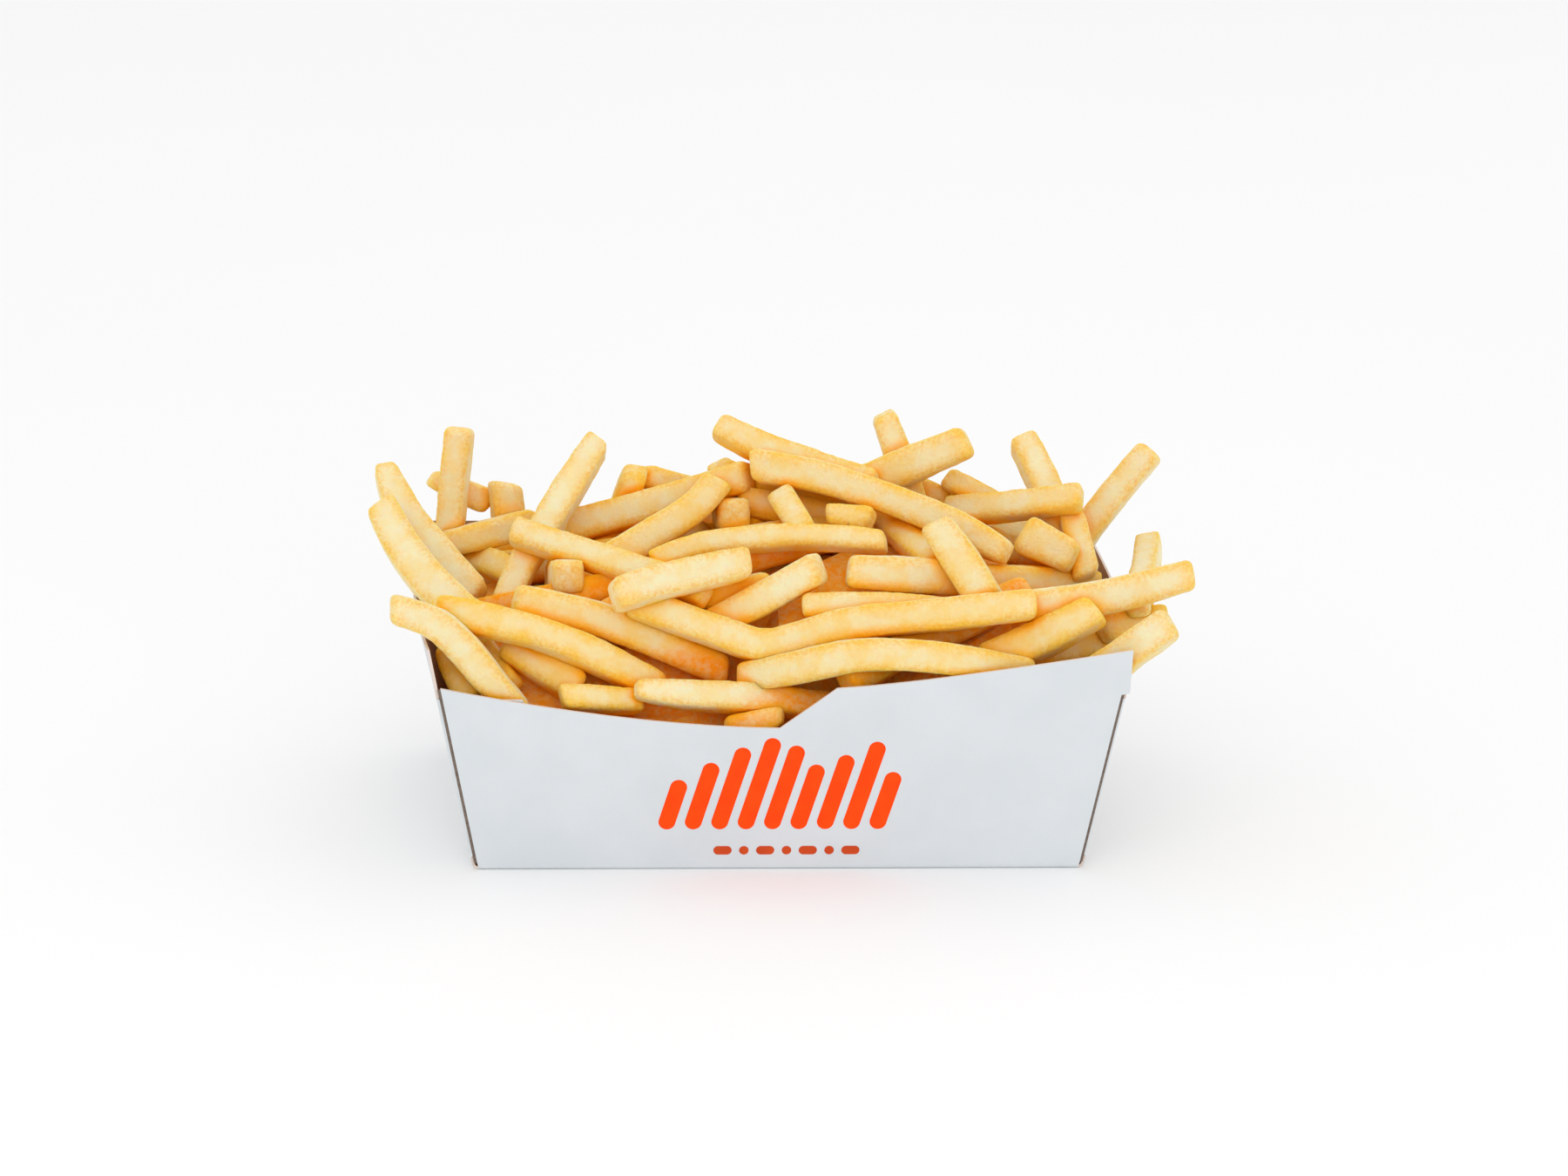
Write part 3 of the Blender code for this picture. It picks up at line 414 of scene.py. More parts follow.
def side_rim(side, y):
    """Height of a side panel's rim: level, with a dip at the right front"""
    if side < 0:
        return RIM_HEIGHT
    front = wall_y(-1, EAR_FOOT)
    t = np.clip((y - front) / RIGHT_DIP_LENGTH, 0, 1)
    return RIGHT_DIP_TOP + (RIM_HEIGHT - RIGHT_DIP_TOP) * t * t * (3 - 2 * t)


def front_top_edge():
    """Outline of the front panel's top from right to left, as (x, height)"""
    points = []
    right_x = wall_x(1, RIGHT_CORNER_TOP) + EAR_WIDTH - PANEL_INSET - EAR_TOP_INSET
    left_x = wall_x(-1, LEFT_CORNER_TOP) + PANEL_INSET
    for i in range(SWEEP_STEPS + 1):
        t = 1 - i / SWEEP_STEPS
        x = STEP_HEAD_X + (right_x - STEP_HEAD_X) * t
        points.append((x, STEP_HEAD_TOP + (RIGHT_CORNER_TOP - STEP_HEAD_TOP) * t ** HIGH_SWEEP_POWER))
    for i in range(SWEEP_STEPS + 1):
        t = i / SWEEP_STEPS
        x = STEP_FOOT_X + (left_x - STEP_FOOT_X) * t
        points.append((x, STEP_FOOT_TOP + (LEFT_CORNER_TOP - STEP_FOOT_TOP) * t ** LOW_SWEEP_POWER))
    return points


def front_outline():
    """The front panel from its lower right corner round to its lower left, as (x, height)"""
    foot = BASE_WIDTH / 2 - CORNER_RELIEF
    right = [(foot, 0.0), (wall_x(1, CORNER_RELIEF) - PANEL_INSET, CORNER_RELIEF)]
    right.append((wall_x(1, EAR_FOOT) - PANEL_INSET, EAR_FOOT))
    right.append((wall_x(1, EAR_FOOT) - PANEL_INSET + EAR_WIDTH, EAR_FOOT + EAR_RISE))
    left = [(wall_x(-1, CORNER_RELIEF) + PANEL_INSET, CORNER_RELIEF), (-foot, 0.0)]
    return right + front_top_edge() + left


def back_outline():
    """The back panel, plain and straight, from its right corner round to its left"""
    foot = BASE_WIDTH / 2 - CORNER_RELIEF
    heights = (CORNER_RELIEF, RIM_HEIGHT)
    right = [(foot, 0.0)] + [(wall_x(1, h) - PANEL_INSET, h) for h in heights]
    left = [(wall_x(-1, h) + PANEL_INSET, h) for h in reversed(heights)] + [(-foot, 0.0)]
    return right + left


def add_panel(bm, face, outline, foot_verts):
    """A flat panel standing on two corners of the base"""
    first, last = foot_verts
    verts = [first]
    verts += [bm.verts.new((x, wall_y(face, z), z)) for x, z in outline[1:-1]]
    verts.append(last)
    bm.faces.new(verts)


def side_point(side, y_share, height):
    """A point of a side panel: y_share runs from -1 at its front fold to 1 at its back fold"""
    reach = -wall_y(-1, height) - FLAP_GAP if y_share < 0 else wall_y(1, height) - FLAP_GAP
    y = y_share * reach
    return Vector((wall_x(side, height) + bow(side, y, height), y, height))


def add_side(bm, side, front_foot, back_foot):
    """A side panel as a grid of faces that bows outwards, with a glue flap at each end"""
    shares = [-1 + 2 * i / SIDE_COLUMNS for i in range(SIDE_COLUMNS + 1)]
    rows = [[]]
    for i, share in enumerate(shares):
        if i == 0:
            rows[0].append(front_foot)
        elif i == SIDE_COLUMNS:
            rows[0].append(back_foot)
        else:
            reach = front_foot.co.y if share < 0 else back_foot.co.y
            rows[0].append(bm.verts.new((wall_x(side, 0), abs(share) * reach, 0)))
    for height in SIDE_ROWS:
        rows.append([bm.verts.new(side_point(side, share, height)) for share in shares])
    top = []
    for share in shares:
        rim = side_rim(side, side_point(side, share, RIM_HEIGHT).y)
        top.append(bm.verts.new(side_point(side, share, max(rim, FLAP_TOP + RIM_OVER_FLAP))))
    rows.append(top)
    for low, high in zip(rows, rows[1:]):
        for i in range(SIDE_COLUMNS):
            bm.faces.new((low[i], low[i + 1], high[i + 1], high[i]))
    for face, column in ((-1, 0), (1, SIDE_COLUMNS)):
        add_flap(bm, side, face, [row[column] for row in rows[1:-1]])
    return rows[0]


def add_flap(bm, side, face, fold):
    """The glue flap that turns in behind the front or back panel, its free end cut on a slant"""
    inner = []
    for i, vert in enumerate(fold):
        slant = FLAP_SLANT if i in (0, len(fold) - 1) else 0.0
        z = vert.co.z
        x = vert.co.x - side * (FLAP_LENGTH - slant)
        inner.append(bm.verts.new((x, vert.co.y, z)))
    for i in range(len(fold) - 1):
        bm.faces.new((fold[i], fold[i + 1], inner[i + 1], inner[i]))


def view_axes():
    """The eye and the right, up and forward directions of the view that the heap is laid out in"""
    back = Vector((math.sin(VIEW_TURN) * math.cos(VIEW_TILT),
                   -math.cos(VIEW_TURN) * math.cos(VIEW_TILT), math.sin(VIEW_TILT)))
    right = (-back).cross(Vector((0, 0, 1))).normalized()
    up = right.cross(-back)
    eye = Vector((0, 0, VIEW_AIM_HEIGHT)) + back * VIEW_DISTANCE
    eye += right * VIEW_RIGHT_SHIFT + up * VIEW_UP_SHIFT
    return [np.array(v) for v in (eye, right, up, -back)]


def sight_directions(pixels):
    """For points of the view in pixels, the direction that covers 1 mm of depth"""
    _, right, up, forward = view_axes()
    c, s = math.cos(VIEW_ROLL), math.sin(VIEW_ROLL)
    offset = pixels - VIEW_MIDDLE_PX
    level_x = c * offset[:, 0] + s * offset[:, 1]
    level_y = -s * offset[:, 0] + c * offset[:, 1]
    focal = VIEW_PX_PER_MM * VIEW_DISTANCE
    return forward + np.outer(level_x / focal, right) - np.outer(level_y / focal, up)


def heap_height(x, y):
    """Height of the heap's surface, through the middles of its outer fries"""
    crest_x, crest_height = np.array(HEAP_CREST, float).T
    crest = np.interp(x, crest_x, crest_height)
    front = y < HEAP_CREST_Y
    rim = np.minimum(np.where(front, HEAP_RIM, HEAP_BACK_RIM), crest)
    reach = np.where(front, HEAP_FRONT_REACH, HEAP_BACK_REACH)
    power = np.where(front, HEAP_FRONT_POWER, HEAP_BACK_POWER)
    t = np.clip(np.abs(y - HEAP_CREST_Y) / reach, 0, HEAP_MOST_REACH)
    return rim + (crest - rim) * (1 - t ** power)


def smooth_route(points, spacing):
    """Points at even steps along a smooth curve through the given ones"""
    pts = np.array(points, float)
    ends = np.vstack((2 * pts[0] - pts[1], pts, 2 * pts[-1] - pts[-2]))
    fine = []
    for i in range(1, len(ends) - 2):
        a, b, c, d = ends[i - 1:i + 3]
        for t in np.linspace(0, 1, CURVE_STEPS, endpoint=False):
            fine.append(0.5 * (2 * b + (c - a) * t + (2 * a - 5 * b + 4 * c - d) * t * t
                               + (3 * b - a - 3 * c + d) * t ** 3))
    fine.append(pts[-1])
    fine = np.array(fine)
    run = np.concatenate(([0], np.cumsum(np.linalg.norm(np.diff(fine, axis=0), axis=1))))
    count = max(3, int(round(run[-1] / spacing)) + 1)
    at = np.linspace(0, run[-1], count)
    return np.column_stack([np.interp(at, run, fine[:, k]) for k in range(pts.shape[1])])


class Fry:
    """One fry: the middle line of it, its half width and its turn about that line"""

    def __init__(self, name, layer, radius, turn, pixels=None, points=None):
        self.name = name
        self.layer = layer
        self.radius = radius
        self.turn = turn
        self.pixels = pixels
        self.points = points


def first_depths(directions, layer):
    """Depth at which each line of sight meets the heap's surface, or passes it closest"""
    eye = view_axes()[0]
    depths = np.arange(NEAREST_DEPTH, FARTHEST_DEPTH)
    spots = eye + directions[:, None, :] * (VIEW_DISTANCE + depths)[None, :, None]
    above = spots[:, :, 2] - heap_height(spots[:, :, 0], spots[:, :, 1])
    above += np.where(spots[:, :, 1] > HEAP_CREST_Y + CREST_MARGIN, NEVER, 0)
    hit = above <= 0
    index = np.where(hit.any(axis=1), hit.argmax(axis=1), above.argmin(axis=1))
    found = depths[index]
    meets = hit.any(axis=1)
    if meets.any():
        stations = np.arange(len(found))
        found = np.interp(stations, stations[meets], found[meets])
    return found + (layer - SURFACE_LAYER) * LAYER_STEP


def depth_shapes(count, length):
    """What a fry's depth may follow along its length: a slope and, in a long fry, a slight bend"""
    t = np.linspace(-1, 1, count)
    columns = [np.ones(count), t]
    if length > LONG_FRY:
        columns.append(t * t)
    return np.column_stack(columns)


def shown_fries(random):
    """The fries that show, laid out in depth so that each rests on those behind it"""
    eye = view_axes()[0]
    fries, directions, depths, fits = [], [], [], []
    for name, layer, width, route in SHOWN_FRIES:
        pixels = smooth_route(route, STATION_SPACING * VIEW_PX_PER_MM)
        ways = sight_directions(pixels)
        start = first_depths(ways, layer)
        shapes = depth_shapes(len(pixels), len(pixels) * STATION_SPACING)
        fit = shapes @ np.linalg.pinv(shapes)
        if name in END_ON_NAMES:
            start = np.linspace(start.min(), start.min() + END_ON_LENGTH, len(pixels))
        turn = 0.0 if name in END_ON_NAMES else random.uniform(-FRY_TURN, FRY_TURN)
        fries.append(Fry(name, layer, width / VIEW_PX_PER_MM / 2 * ROUNDING_SHARE, turn, pixels))
        directions.append(ways)
        depths.append(fit @ start)
        fits.append(fit)
    pairs = overlapping_pairs(fries)
    homes = [d.copy() for d in depths]
    for turn in range(SETTLE_ROUNDS):
        pull = HOME_PULL * max(1 - turn / HOME_ROUNDS, 0)
        push_apart(depths, pairs)
        for i, fry in enumerate(fries):
            spots = eye + directions[i] * (VIEW_DISTANCE + depths[i])[:, None]
            depths[i] += keep_in_carton(spots, fry.radius)
            depths[i] += pull * (homes[i] - depths[i])
            depths[i] = fits[i] @ depths[i]
    for i, fry in enumerate(fries):
        points = eye + directions[i] * (VIEW_DISTANCE + depths[i])[:, None]
        fry.points = np.round(keep_between_sides(points, fry.radius), 2)
        fry.radius *= (1 + depths[i].mean() / VIEW_DISTANCE) / ROUNDING_SHARE / seen_width(fry)
    return fries


def facing_of(points):
    """The way that a fry's broad face looks: forwards and up, or only up in a fry seen from its end"""
    along = points[-1] - points[0]
    share = abs(along @ FACING) / (np.linalg.norm(along) * np.linalg.norm(FACING))
    return END_ON_FACING if share > MOSTLY_ALONG else FACING


def seen_width(fry):
    """How much wider than its faces a fry looks from the front, as its section is turned to the view"""
    along = fry.points[-1] - fry.points[0]
    across = np.cross(along, fry.points.mean(axis=0) - view_axes()[0])
    wide = np.cross(along, facing_of(fry.points))
    tall = np.cross(wide, along)
    across, wide, tall = [v / np.linalg.norm(v) for v in (across, wide, tall)]
    c, s = math.cos(fry.turn), math.sin(fry.turn)
    shares = np.abs((across @ (wide * c + tall * s), across @ (tall * c - wide * s)))
    power = SQUARENESS / (SQUARENESS - 1)
    return (shares ** power).sum() ** (1 / power)


def keep_between_sides(points, radius):
    """Shift what would cross a side panel below its rim sideways into the carton"""
    x, y, z = points.T
    room = radius * CORNER_SHARE + WALL_CLEARANCE
    for side in (-1, 1):
        rim = side_rim(side, y)
        low = z < rim + radius
        limit = side * wall_x(side, np.minimum(z, rim)) - room
        lack = np.where(low, side * x - limit, 0)
        if 0 < lack.max() < SIDE_SHIFT:
            x = x - side * np.clip(lack, 0, None)
    return np.column_stack((x, y, z))


def overlapping_pairs(fries):
    """Stations of two fries that overlap in the view, with the gap in depth that they need"""
    pairs = []
    for i, a in enumerate(fries):
        for j, b in enumerate(fries[i + 1:], i + 1):
            apart = np.linalg.norm(a.pixels[:, None] - b.pixels[None], axis=2) / VIEW_PX_PER_MM
            reach = (a.radius + b.radius) * TOUCH
            p, q = np.nonzero(apart < reach)
            if len(p):
                gap = np.sqrt(reach ** 2 - apart[p, q] ** 2)
                pairs.append((i, j, p, q, gap, 1 if a.layer <= b.layer else -1))
    return pairs


def push_apart(depths, pairs):
    """Move overlapping fries apart in depth, the front one forwards and the other back"""
    moves = [np.zeros(len(d)) for d in depths]
    counts = [np.full(len(d), LEAST_COUNT) for d in depths]
    for i, j, p, q, gap, order in pairs:
        lack = gap - order * (depths[j][q] - depths[i][p])
        short = lack > 0
        if short.any():
            np.add.at(moves[i], p[short], -order * lack[short] / 2)
            np.add.at(moves[j], q[short], order * lack[short] / 2)
            np.add.at(counts[i], p[short], 1)
            np.add.at(counts[j], q[short], 1)
    for depth, move, count in zip(depths, moves, counts):
        contact = (count >= 1).mean()
        depth += move / count / max(contact, LEAST_CONTACT) * PUSH


def keep_in_carton(spots, radius):
    """Change of depth that keeps a fry's stations behind the front panel, before the back one
    and above the side rims"""
    x, y, z = spots.T
    room = radius * CORNER_SHARE + WALL_CLEARANCE + FLAP_GAP
    front_lack = (wall_y(-1, 0) - FRONT_FLARE * z + room) - y
    back_lack = y - (wall_y(1, 0) + BACK_FLARE * z - room)
    back_lack = np.where(z < RIM_HEIGHT + radius, back_lack, 0)
    move = np.clip(front_lack, 0, LARGEST_MOVE) - np.clip(back_lack, 0, LARGEST_MOVE)
    for side in (-1, 1):
        rim = side_rim(side, y)
        limit = side * wall_x(side, rim) - radius * OVER_RIM_SHARE
        over = side * x > limit
        rim_lack = np.where(over, rim + radius * CORNER_SHARE + RIM_CLEARANCE - z, 0)
        move -= np.clip(rim_lack / math.sin(VIEW_TILT), 0, LARGEST_MOVE)
    return move


def core_top(x, y, stations):
    """Height of the core: under the heap's surface, and no higher than the middle of any fry above it"""
    height = float(heap_height(np.array(x), np.array(y))) - CORE_SINK
    near = np.hypot(stations[:, 0] - x, stations[:, 1] - y) < CORE_REACH
    if near.any():
        height = min(height, stations[near, 2].min() - CORE_UNDER_FRY)
    return max(height, CORE_LOWEST_TOP)


def back_fries(shown, random):
    """Fries for the back of the heap, each laid on the surface where there is room"""
    placed = list(shown)
    added = []
    for attempt in range(BACK_TRIES):
        x = random.uniform(-BACK_HALF_WIDTH, BACK_HALF_WIDTH)
        y = random.uniform(BACK_FROM_Y, BACK_TO_Y)
        turn = random.uniform(-BACK_TURN, BACK_TURN)
        length = random.uniform(*BACK_LENGTH) - BACK_SHORTENING * attempt / BACK_TRIES
        radius = random.uniform(*BACK_RADIUS)
        fry = laid_fry(x, y, turn, length, radius, random.uniform(-BACK_BEND, BACK_BEND), BACK_LOWEST_Y)
        if fry and lift_clear(fry, placed):
            fry.turn = random.uniform(-FRY_TURN, FRY_TURN)
            placed.append(fry)
            added.append(fry)
    return added


def laid_fry(x, y, turn, length, radius, bend, lowest_y):
    """A fry lying on the heap's surface, or nothing where it would cross the carton"""
    t = np.linspace(-1, 1, max(4, int(length / STATION_SPACING)))
    across = t * length / 2
    side = bend * (1 - t * t)
    px = x + across * math.cos(turn) - side * math.sin(turn)
    py = y + across * math.sin(turn) + side * math.cos(turn)
    pz = heap_height(px, py)
    shapes = depth_shapes(len(t), length)
    pz = shapes @ np.linalg.pinv(shapes) @ pz
    room = radius * CORNER_SHARE + WALL_CLEARANCE + FLAP_GAP
    inside_y = py < BASE_DEPTH / 2 + BACK_FLARE * pz - room
    inside_x = np.abs(px) < BASE_WIDTH / 2 + RIGHT_FLARE * np.minimum(pz, RIM_HEIGHT) - room
    if not (inside_x.all() and inside_y.all() and (py > lowest_y).all()):
        return None
    return Fry("back", HIDDEN_LAYER, radius, 0.0, points=np.column_stack((px, py, pz)))


def lift_clear(fry, placed):
    """Lower or raise a fry until it just touches the others; false where no place is found"""
    for lift in np.arange(LOWEST_LIFT, HIGHEST_LIFT, 1.0):
        spots = fry.points + np.array((0, 0, lift))
        if shows_over_heap(spots, fry.radius):
            return False
        if all(is_clear(spots, fry.radius, other, BACK_TOUCH) for other in placed):
            fry.points = spots
            return True
    return False


def is_clear(spots, radius, other, touch):
    """Whether a fry at these stations crosses another no deeper than fries press together"""
    apart = np.linalg.norm(spots[:, None] - other.points[None], axis=2).min()
    return apart > (radius + other.radius) * touch


def shows_over_heap(spots, radius):
    """Whether a fry would rise above the outline that the heap has from the front"""
    eye, right, up, forward = view_axes()
    away = spots - eye
    scale = VIEW_PX_PER_MM * VIEW_DISTANCE / (away @ forward)
    level_x, level_y = away @ right * scale, -(away @ up) * scale
    c, s = math.cos(VIEW_ROLL), math.sin(VIEW_ROLL)
    across = VIEW_MIDDLE_PX[0] + c * level_x - s * level_y
    down = VIEW_MIDDLE_PX[1] + s * level_x + c * level_y
    outline_x, outline_y = np.array(HEAP_OUTLINE, float).T
    return bool((down - radius * VIEW_PX_PER_MM < np.interp(across, outline_x, outline_y)).any())


def under_fries(above, random):
    """The next layer down, which shows in the gaps of the heap, dark with painted depth shade"""
    placed = list(above)
    added = []
    for attempt in range(UNDER_TRIES):
        x = random.uniform(-UNDER_REACH[0], UNDER_REACH[0])
        y = random.uniform(-UNDER_REACH[1], UNDER_REACH[1])
        turn = random.uniform(-UNDER_TURN, UNDER_TURN)
        length = random.uniform(*UNDER_LENGTH) - UNDER_SHORTENING * attempt / UNDER_TRIES
        radius = random.uniform(*UNDER_RADIUS)
        bend = random.uniform(-UNDER_BEND, UNDER_BEND)
        fry = laid_fry(x, y, turn, length, radius, bend, -UNDER_REACH[1])
        if fry is None:
            continue
        fry.points[:, 2] += random.uniform(*UNDER_LIFT)
        if all(is_clear(fry.points, radius, other, UNDER_TOUCH) for other in placed):
            fry.name = "under"
            placed.append(fry)
            added.append(fry)
    return added


def fry_rings(length, ring_step):
    """Where the rings lie along a fry and each ring's share of the full section"""
    closing = np.array(END_PROFILE)
    reach = closing[-1, 0] + ring_step / 2
    count = max(4, int(round((length - 2 * reach) / ring_step)) + 1)
    middle = np.linspace(reach, length - reach, count)
    places = np.concatenate((closing[:, 0], middle, length - closing[::-1, 0]))
    shares = np.concatenate((closing[:, 1], np.ones(count), closing[::-1, 1]))
    return places, shares


def route_frames(points, run, places):
    """The middle, direction and two sideways directions of a fry at each ring"""
    def at(where):
        return np.column_stack([np.interp(where, run, points[:, k]) for k in range(3)])
    middles = at(places)
    ahead = at(np.minimum(places + DIRECTION_STEP, run[-1]))
    along = ahead - at(np.maximum(places - DIRECTION_STEP, 0))
    along /= np.linalg.norm(along, axis=1)[:, None]
    wide = np.cross(along, facing_of(points))
    wide /= np.linalg.norm(wide, axis=1)[:, None]
    return middles, along, wide, np.cross(wide, along)


def section(around, squareness):
    """Points round a square with rounded corners, two units wide, and how near each is to a corner"""
    angles = np.linspace(0, 2 * math.pi, around + 1)
    angles -= CORNER_GATHER * np.sin(4 * angles) / 4
    c, s = np.cos(angles), np.sin(angles)
    reach = (np.abs(c) ** squareness + np.abs(s) ** squareness) ** (-1 / squareness)
    corner = (reach - 1) / (2 ** (0.5 - 1 / squareness) - 1)
    return reach * c, reach * s, corner


def ring_sizes(name, places, length, radius, random):
    """Half width at each ring: it swells and thins a little, and narrows towards some tips"""
    waves = random.uniform(0, 2 * math.pi, 2)
    swell = np.sin(places / LONG_WAVE + waves[0]) + np.sin(places / SHORT_WAVE + waves[1]) / 2
    sizes = radius * (1 + SIZE_WAVE * swell)
    tips = TIPS.get(name, random.uniform(0, MOST_BLUNTING, 2))
    sizes *= 1 - tips[0] * np.exp(-(places / TIP_REACH) ** TIP_POWER)
    sizes *= 1 - tips[1] * np.exp(-((length - places) / TIP_REACH) ** TIP_POWER)
    return sizes


def fry_surface(fry, around, ring_step, random):
    """The places of a fry's points, ring by ring, and how browned each one is"""
    run = np.concatenate(([0], np.cumsum(np.linalg.norm(np.diff(fry.points, axis=0), axis=1))))
    length = run[-1]
    places, shares = fry_rings(length, ring_step)
    middles, along, wide, tall = route_frames(fry.points, run, places)
    across, up, corner = section(around, random.uniform(*SECTION_SQUARENESS))
    sizes = ring_sizes(fry.name, places, length, fry.radius, random) * shares
    squat = random.uniform(*SQUATNESS)
    angle = fry.turn + random.uniform(-FRY_TWIST, FRY_TWIST) * (places / length - 0.5)
    x = np.outer(sizes * squat, across)
    y = np.outer(sizes / squat, up)
    c, s = np.cos(angle)[:, None], np.sin(angle)[:, None]
    x, y = x * c - y * s, x * s + y * c
    slants = random.uniform(-END_SLANT, END_SLANT, 4)
    near = np.minimum(places, length - places)[:, None]
    first = (places < length / 2)[:, None]
    lean = np.where(first, slants[0] * x + slants[1] * y, slants[2] * x + slants[3] * y)
    lean = lean * np.exp(-near / SLANT_REACH)
    outwards = x[..., None] * wide[:, None] + y[..., None] * tall[:, None]
    spots = middles[:, None] + outwards + lean[..., None] * along[:, None]
    outwards /= np.maximum(np.linalg.norm(outwards, axis=2), LEAST_REACH)[..., None]
    end_brown = np.exp(-near / END_BROWNING) * shares[:, None]
    browned = np.clip(corner[None] ** CORNER_BROWNING + end_brown, 0, 1)
    spots += outwards * lumps(fry, spots, near, browned, random)[..., None]
    return spots, browned


def lumps(fry, spots, near, browned, random):
    """How far the fry's skin stands out or in at each point: crumbs stand along its browned edges"""
    shift = Vector(random.uniform(-NOISE_RANGE, NOISE_RANGE, 3))
    out = np.zeros(spots.shape[:2])
    for k in range(spots.shape[0]):
        rough = ROUGH_LUMP * math.exp(-float(near[k, 0]) / ROUGH_REACH) if fry.name in ROUGH_ENDS else 0.0
        for j in range(spots.shape[1]):
            spot = Vector(spots[k, j])
            large = noise.noise(spot / LUMP_SIZE + shift)
            small = noise.noise(spot / GRAIN_SIZE + shift)
            crumb = noise.noise(spot / CRUMB_SIZE + shift)
            out[k, j] = LUMP * large + (GRAIN + rough) * small + CRUMB * browned[k, j] * crumb
    return out


def tone_range(name):
    """How golden a fry of this name may be"""
    if name in PALE_FRIES:
        return PALE_TONES
    return GOLDEN_TONES if name in GOLDEN_FRIES else MIDDLE_TONES


def add_detailed_fry(joined, fry, around, ring_step, random):
    """Lay a grid round one fry, close it to a body and add it to the joined mesh"""
    spots, browned = fry_surface(fry, around, ring_step, random)
    tone = random.uniform(*tone_range(fry.name))
    # Painted depth shade: more orange the farther a point lies below the heap's surface, in full on the layer
    # below
    painted_depth_shade = np.clip((heap_height(spots[..., 0], spots[..., 1]) - spots[..., 2]) / DEPTH_SHADE_SPAN, 0, 1)
    if fry.name == "under":
        painted_depth_shade[:] = 1.0
    rings = spots.shape[0]
    bm = bmesh.new()
    layers = [bm.verts.layers.float.new(name) for name in POINT_VALUES]
    bmesh.ops.create_grid(bm, x_segments=around, y_segments=rings - 1, size=0.5)
    for vert in bm.verts:
        j = round((vert.co.x + 0.5) * around)
        k = round((vert.co.y + 0.5) * (rings - 1))
        for layer, value in zip(layers, (tone, browned[k, j], painted_depth_shade[k, j])):
            vert[layer] = float(value)
        vert.co = spots[k, j] * MM
    bmesh.ops.remove_doubles(bm, verts=bm.verts, dist=WELD * MM)
    bmesh.ops.recalc_face_normals(bm, faces=bm.faces)
    for face in bm.faces:
        face.smooth = True
    single = bpy.data.meshes.new("one_fry")
    bm.to_mesh(single)
    bm.free()
    joined.from_mesh(single)
    bpy.data.meshes.remove(single)


def fries_piece(name, fries, around, ring_step, random, material):
    """Many fries as one piece"""
    joined = bmesh.new()
    for fry in fries:
        add_detailed_fry(joined, fry, around, ring_step, random)
    return add_piece(joined, name, material)


def heap_core(fries, material):
    """The inside of the heap, below every fry, dark with painted depth shade"""
    stations = np.vstack([fry.points for fry in fries])
    top_half = np.array((wall_x(1, CORE_TOP_WALL), wall_y(1, CORE_TOP_WALL))) - CORE_TOP_GAP
    foot_half = np.array((BASE_WIDTH / 2, BASE_DEPTH / 2)) - CORE_FOOT_GAP
    bm = bmesh.new()
    layers = [bm.verts.layers.float.new(name) for name in POINT_VALUES]
    bmesh.ops.create_grid(bm, x_segments=CORE_CELLS[0], y_segments=CORE_CELLS[1], size=1.0)
    top = bm.verts[:]
    grown = bmesh.ops.extrude_face_region(bm, geom=bm.faces[:])
    foot = [item for item in grown["geom"] if isinstance(item, bmesh.types.BMVert)]
    for vert in top:
        x, y = vert.co.x * top_half[0], vert.co.y * top_half[1]
        vert.co = (x, y, core_top(x, y, stations) - CORE_DROP)
    for vert in foot:
        vert.co = (vert.co.x * foot_half[0], vert.co.y * foot_half[1], CORE_FLOOR)
    for vert in bm.verts:
        for layer, value in zip(layers, CORE_VALUES):
            vert[layer] = value
    bmesh.ops.recalc_face_normals(bm, faces=bm.faces)
    bmesh.ops.scale(bm, verts=bm.verts, vec=(MM, MM, MM))
    return add_piece(bm, "heap_core", material)


def mark_painted_shade(pieces, others):
    """Store, as painted shade, how closely each point of the pieces is covered, how far it lies among other
    fries and how much it faces downwards
    """
    tree = BVHTree.FromPolygons(*joined_faces(pieces + others))
    for piece in pieces:
        mesh = piece.data
        count = len(mesh.vertices)
        places = np.empty(count * 3)
        normals = np.empty(count * 3)
        mesh.vertices.foreach_get("co", places)
        mesh.vertex_normals.foreach_get("vector", normals)
        normals = normals.reshape(-1, 3)
        painted_hollow_shade, painted_broad_shade = hidden_shares(tree, places.reshape(-1, 3), normals)
        # Painted shade: faces that look downwards count as hidden too
        painted_broad_shade = np.clip(painted_broad_shade + UNDERSIDE_SHADE_SHARE * np.clip(-normals[:, 2], 0, 1), 0, 1)
        for name, values in (("painted_hollow_shade", painted_hollow_shade), ("painted_broad_shade", painted_broad_shade)):
            mesh.attributes.new(name, "FLOAT", "POINT").data.foreach_set("value", soften(mesh, values))


def joined_faces(pieces):
    """The points and faces of several pieces together"""
    points, faces = [], []
    for piece in pieces:
        first = len(points)
        points += [vert.co for vert in piece.data.vertices]
        faces += [[first + i for i in face.vertices] for face in piece.data.polygons]
    return points, faces


def hidden_shares(tree, places, normals):
    """How much of what each point faces is blocked, close by and farther away, from 0 to 1"""
    turns = np.arange(SHADE_RAYS) * math.pi * (3 - math.sqrt(5))
    rise = np.sqrt(1 - (np.arange(SHADE_RAYS) + 0.5) / SHADE_RAYS)
    flat = np.sqrt(1 - rise ** 2)
    aside = np.cross(normals, RAYS_ASIDE)
    aside /= np.linalg.norm(aside, axis=1)[:, None]
    across = np.cross(normals, aside)
    close = np.zeros(len(places))
    far = np.zeros(len(places))
    starts = places + normals * SHADE_RAY_START * MM
    for ray in range(SHADE_RAYS):
        ways = aside * math.cos(turns[ray]) * flat[ray] + across * math.sin(turns[ray]) * flat[ray]
        ways += normals * rise[ray]
        for i, (start, way) in enumerate(zip(starts, ways)):
            distance = tree.ray_cast(start, way, BROAD_SHADE_REACH * MM)[3]
            if distance is not None:
                far[i] += 1 - distance / (BROAD_SHADE_REACH * MM)
                close[i] += max(1 - distance / (HOLLOW_SHADE_REACH * MM), 0)
    return close / SHADE_RAYS, far / SHADE_RAYS


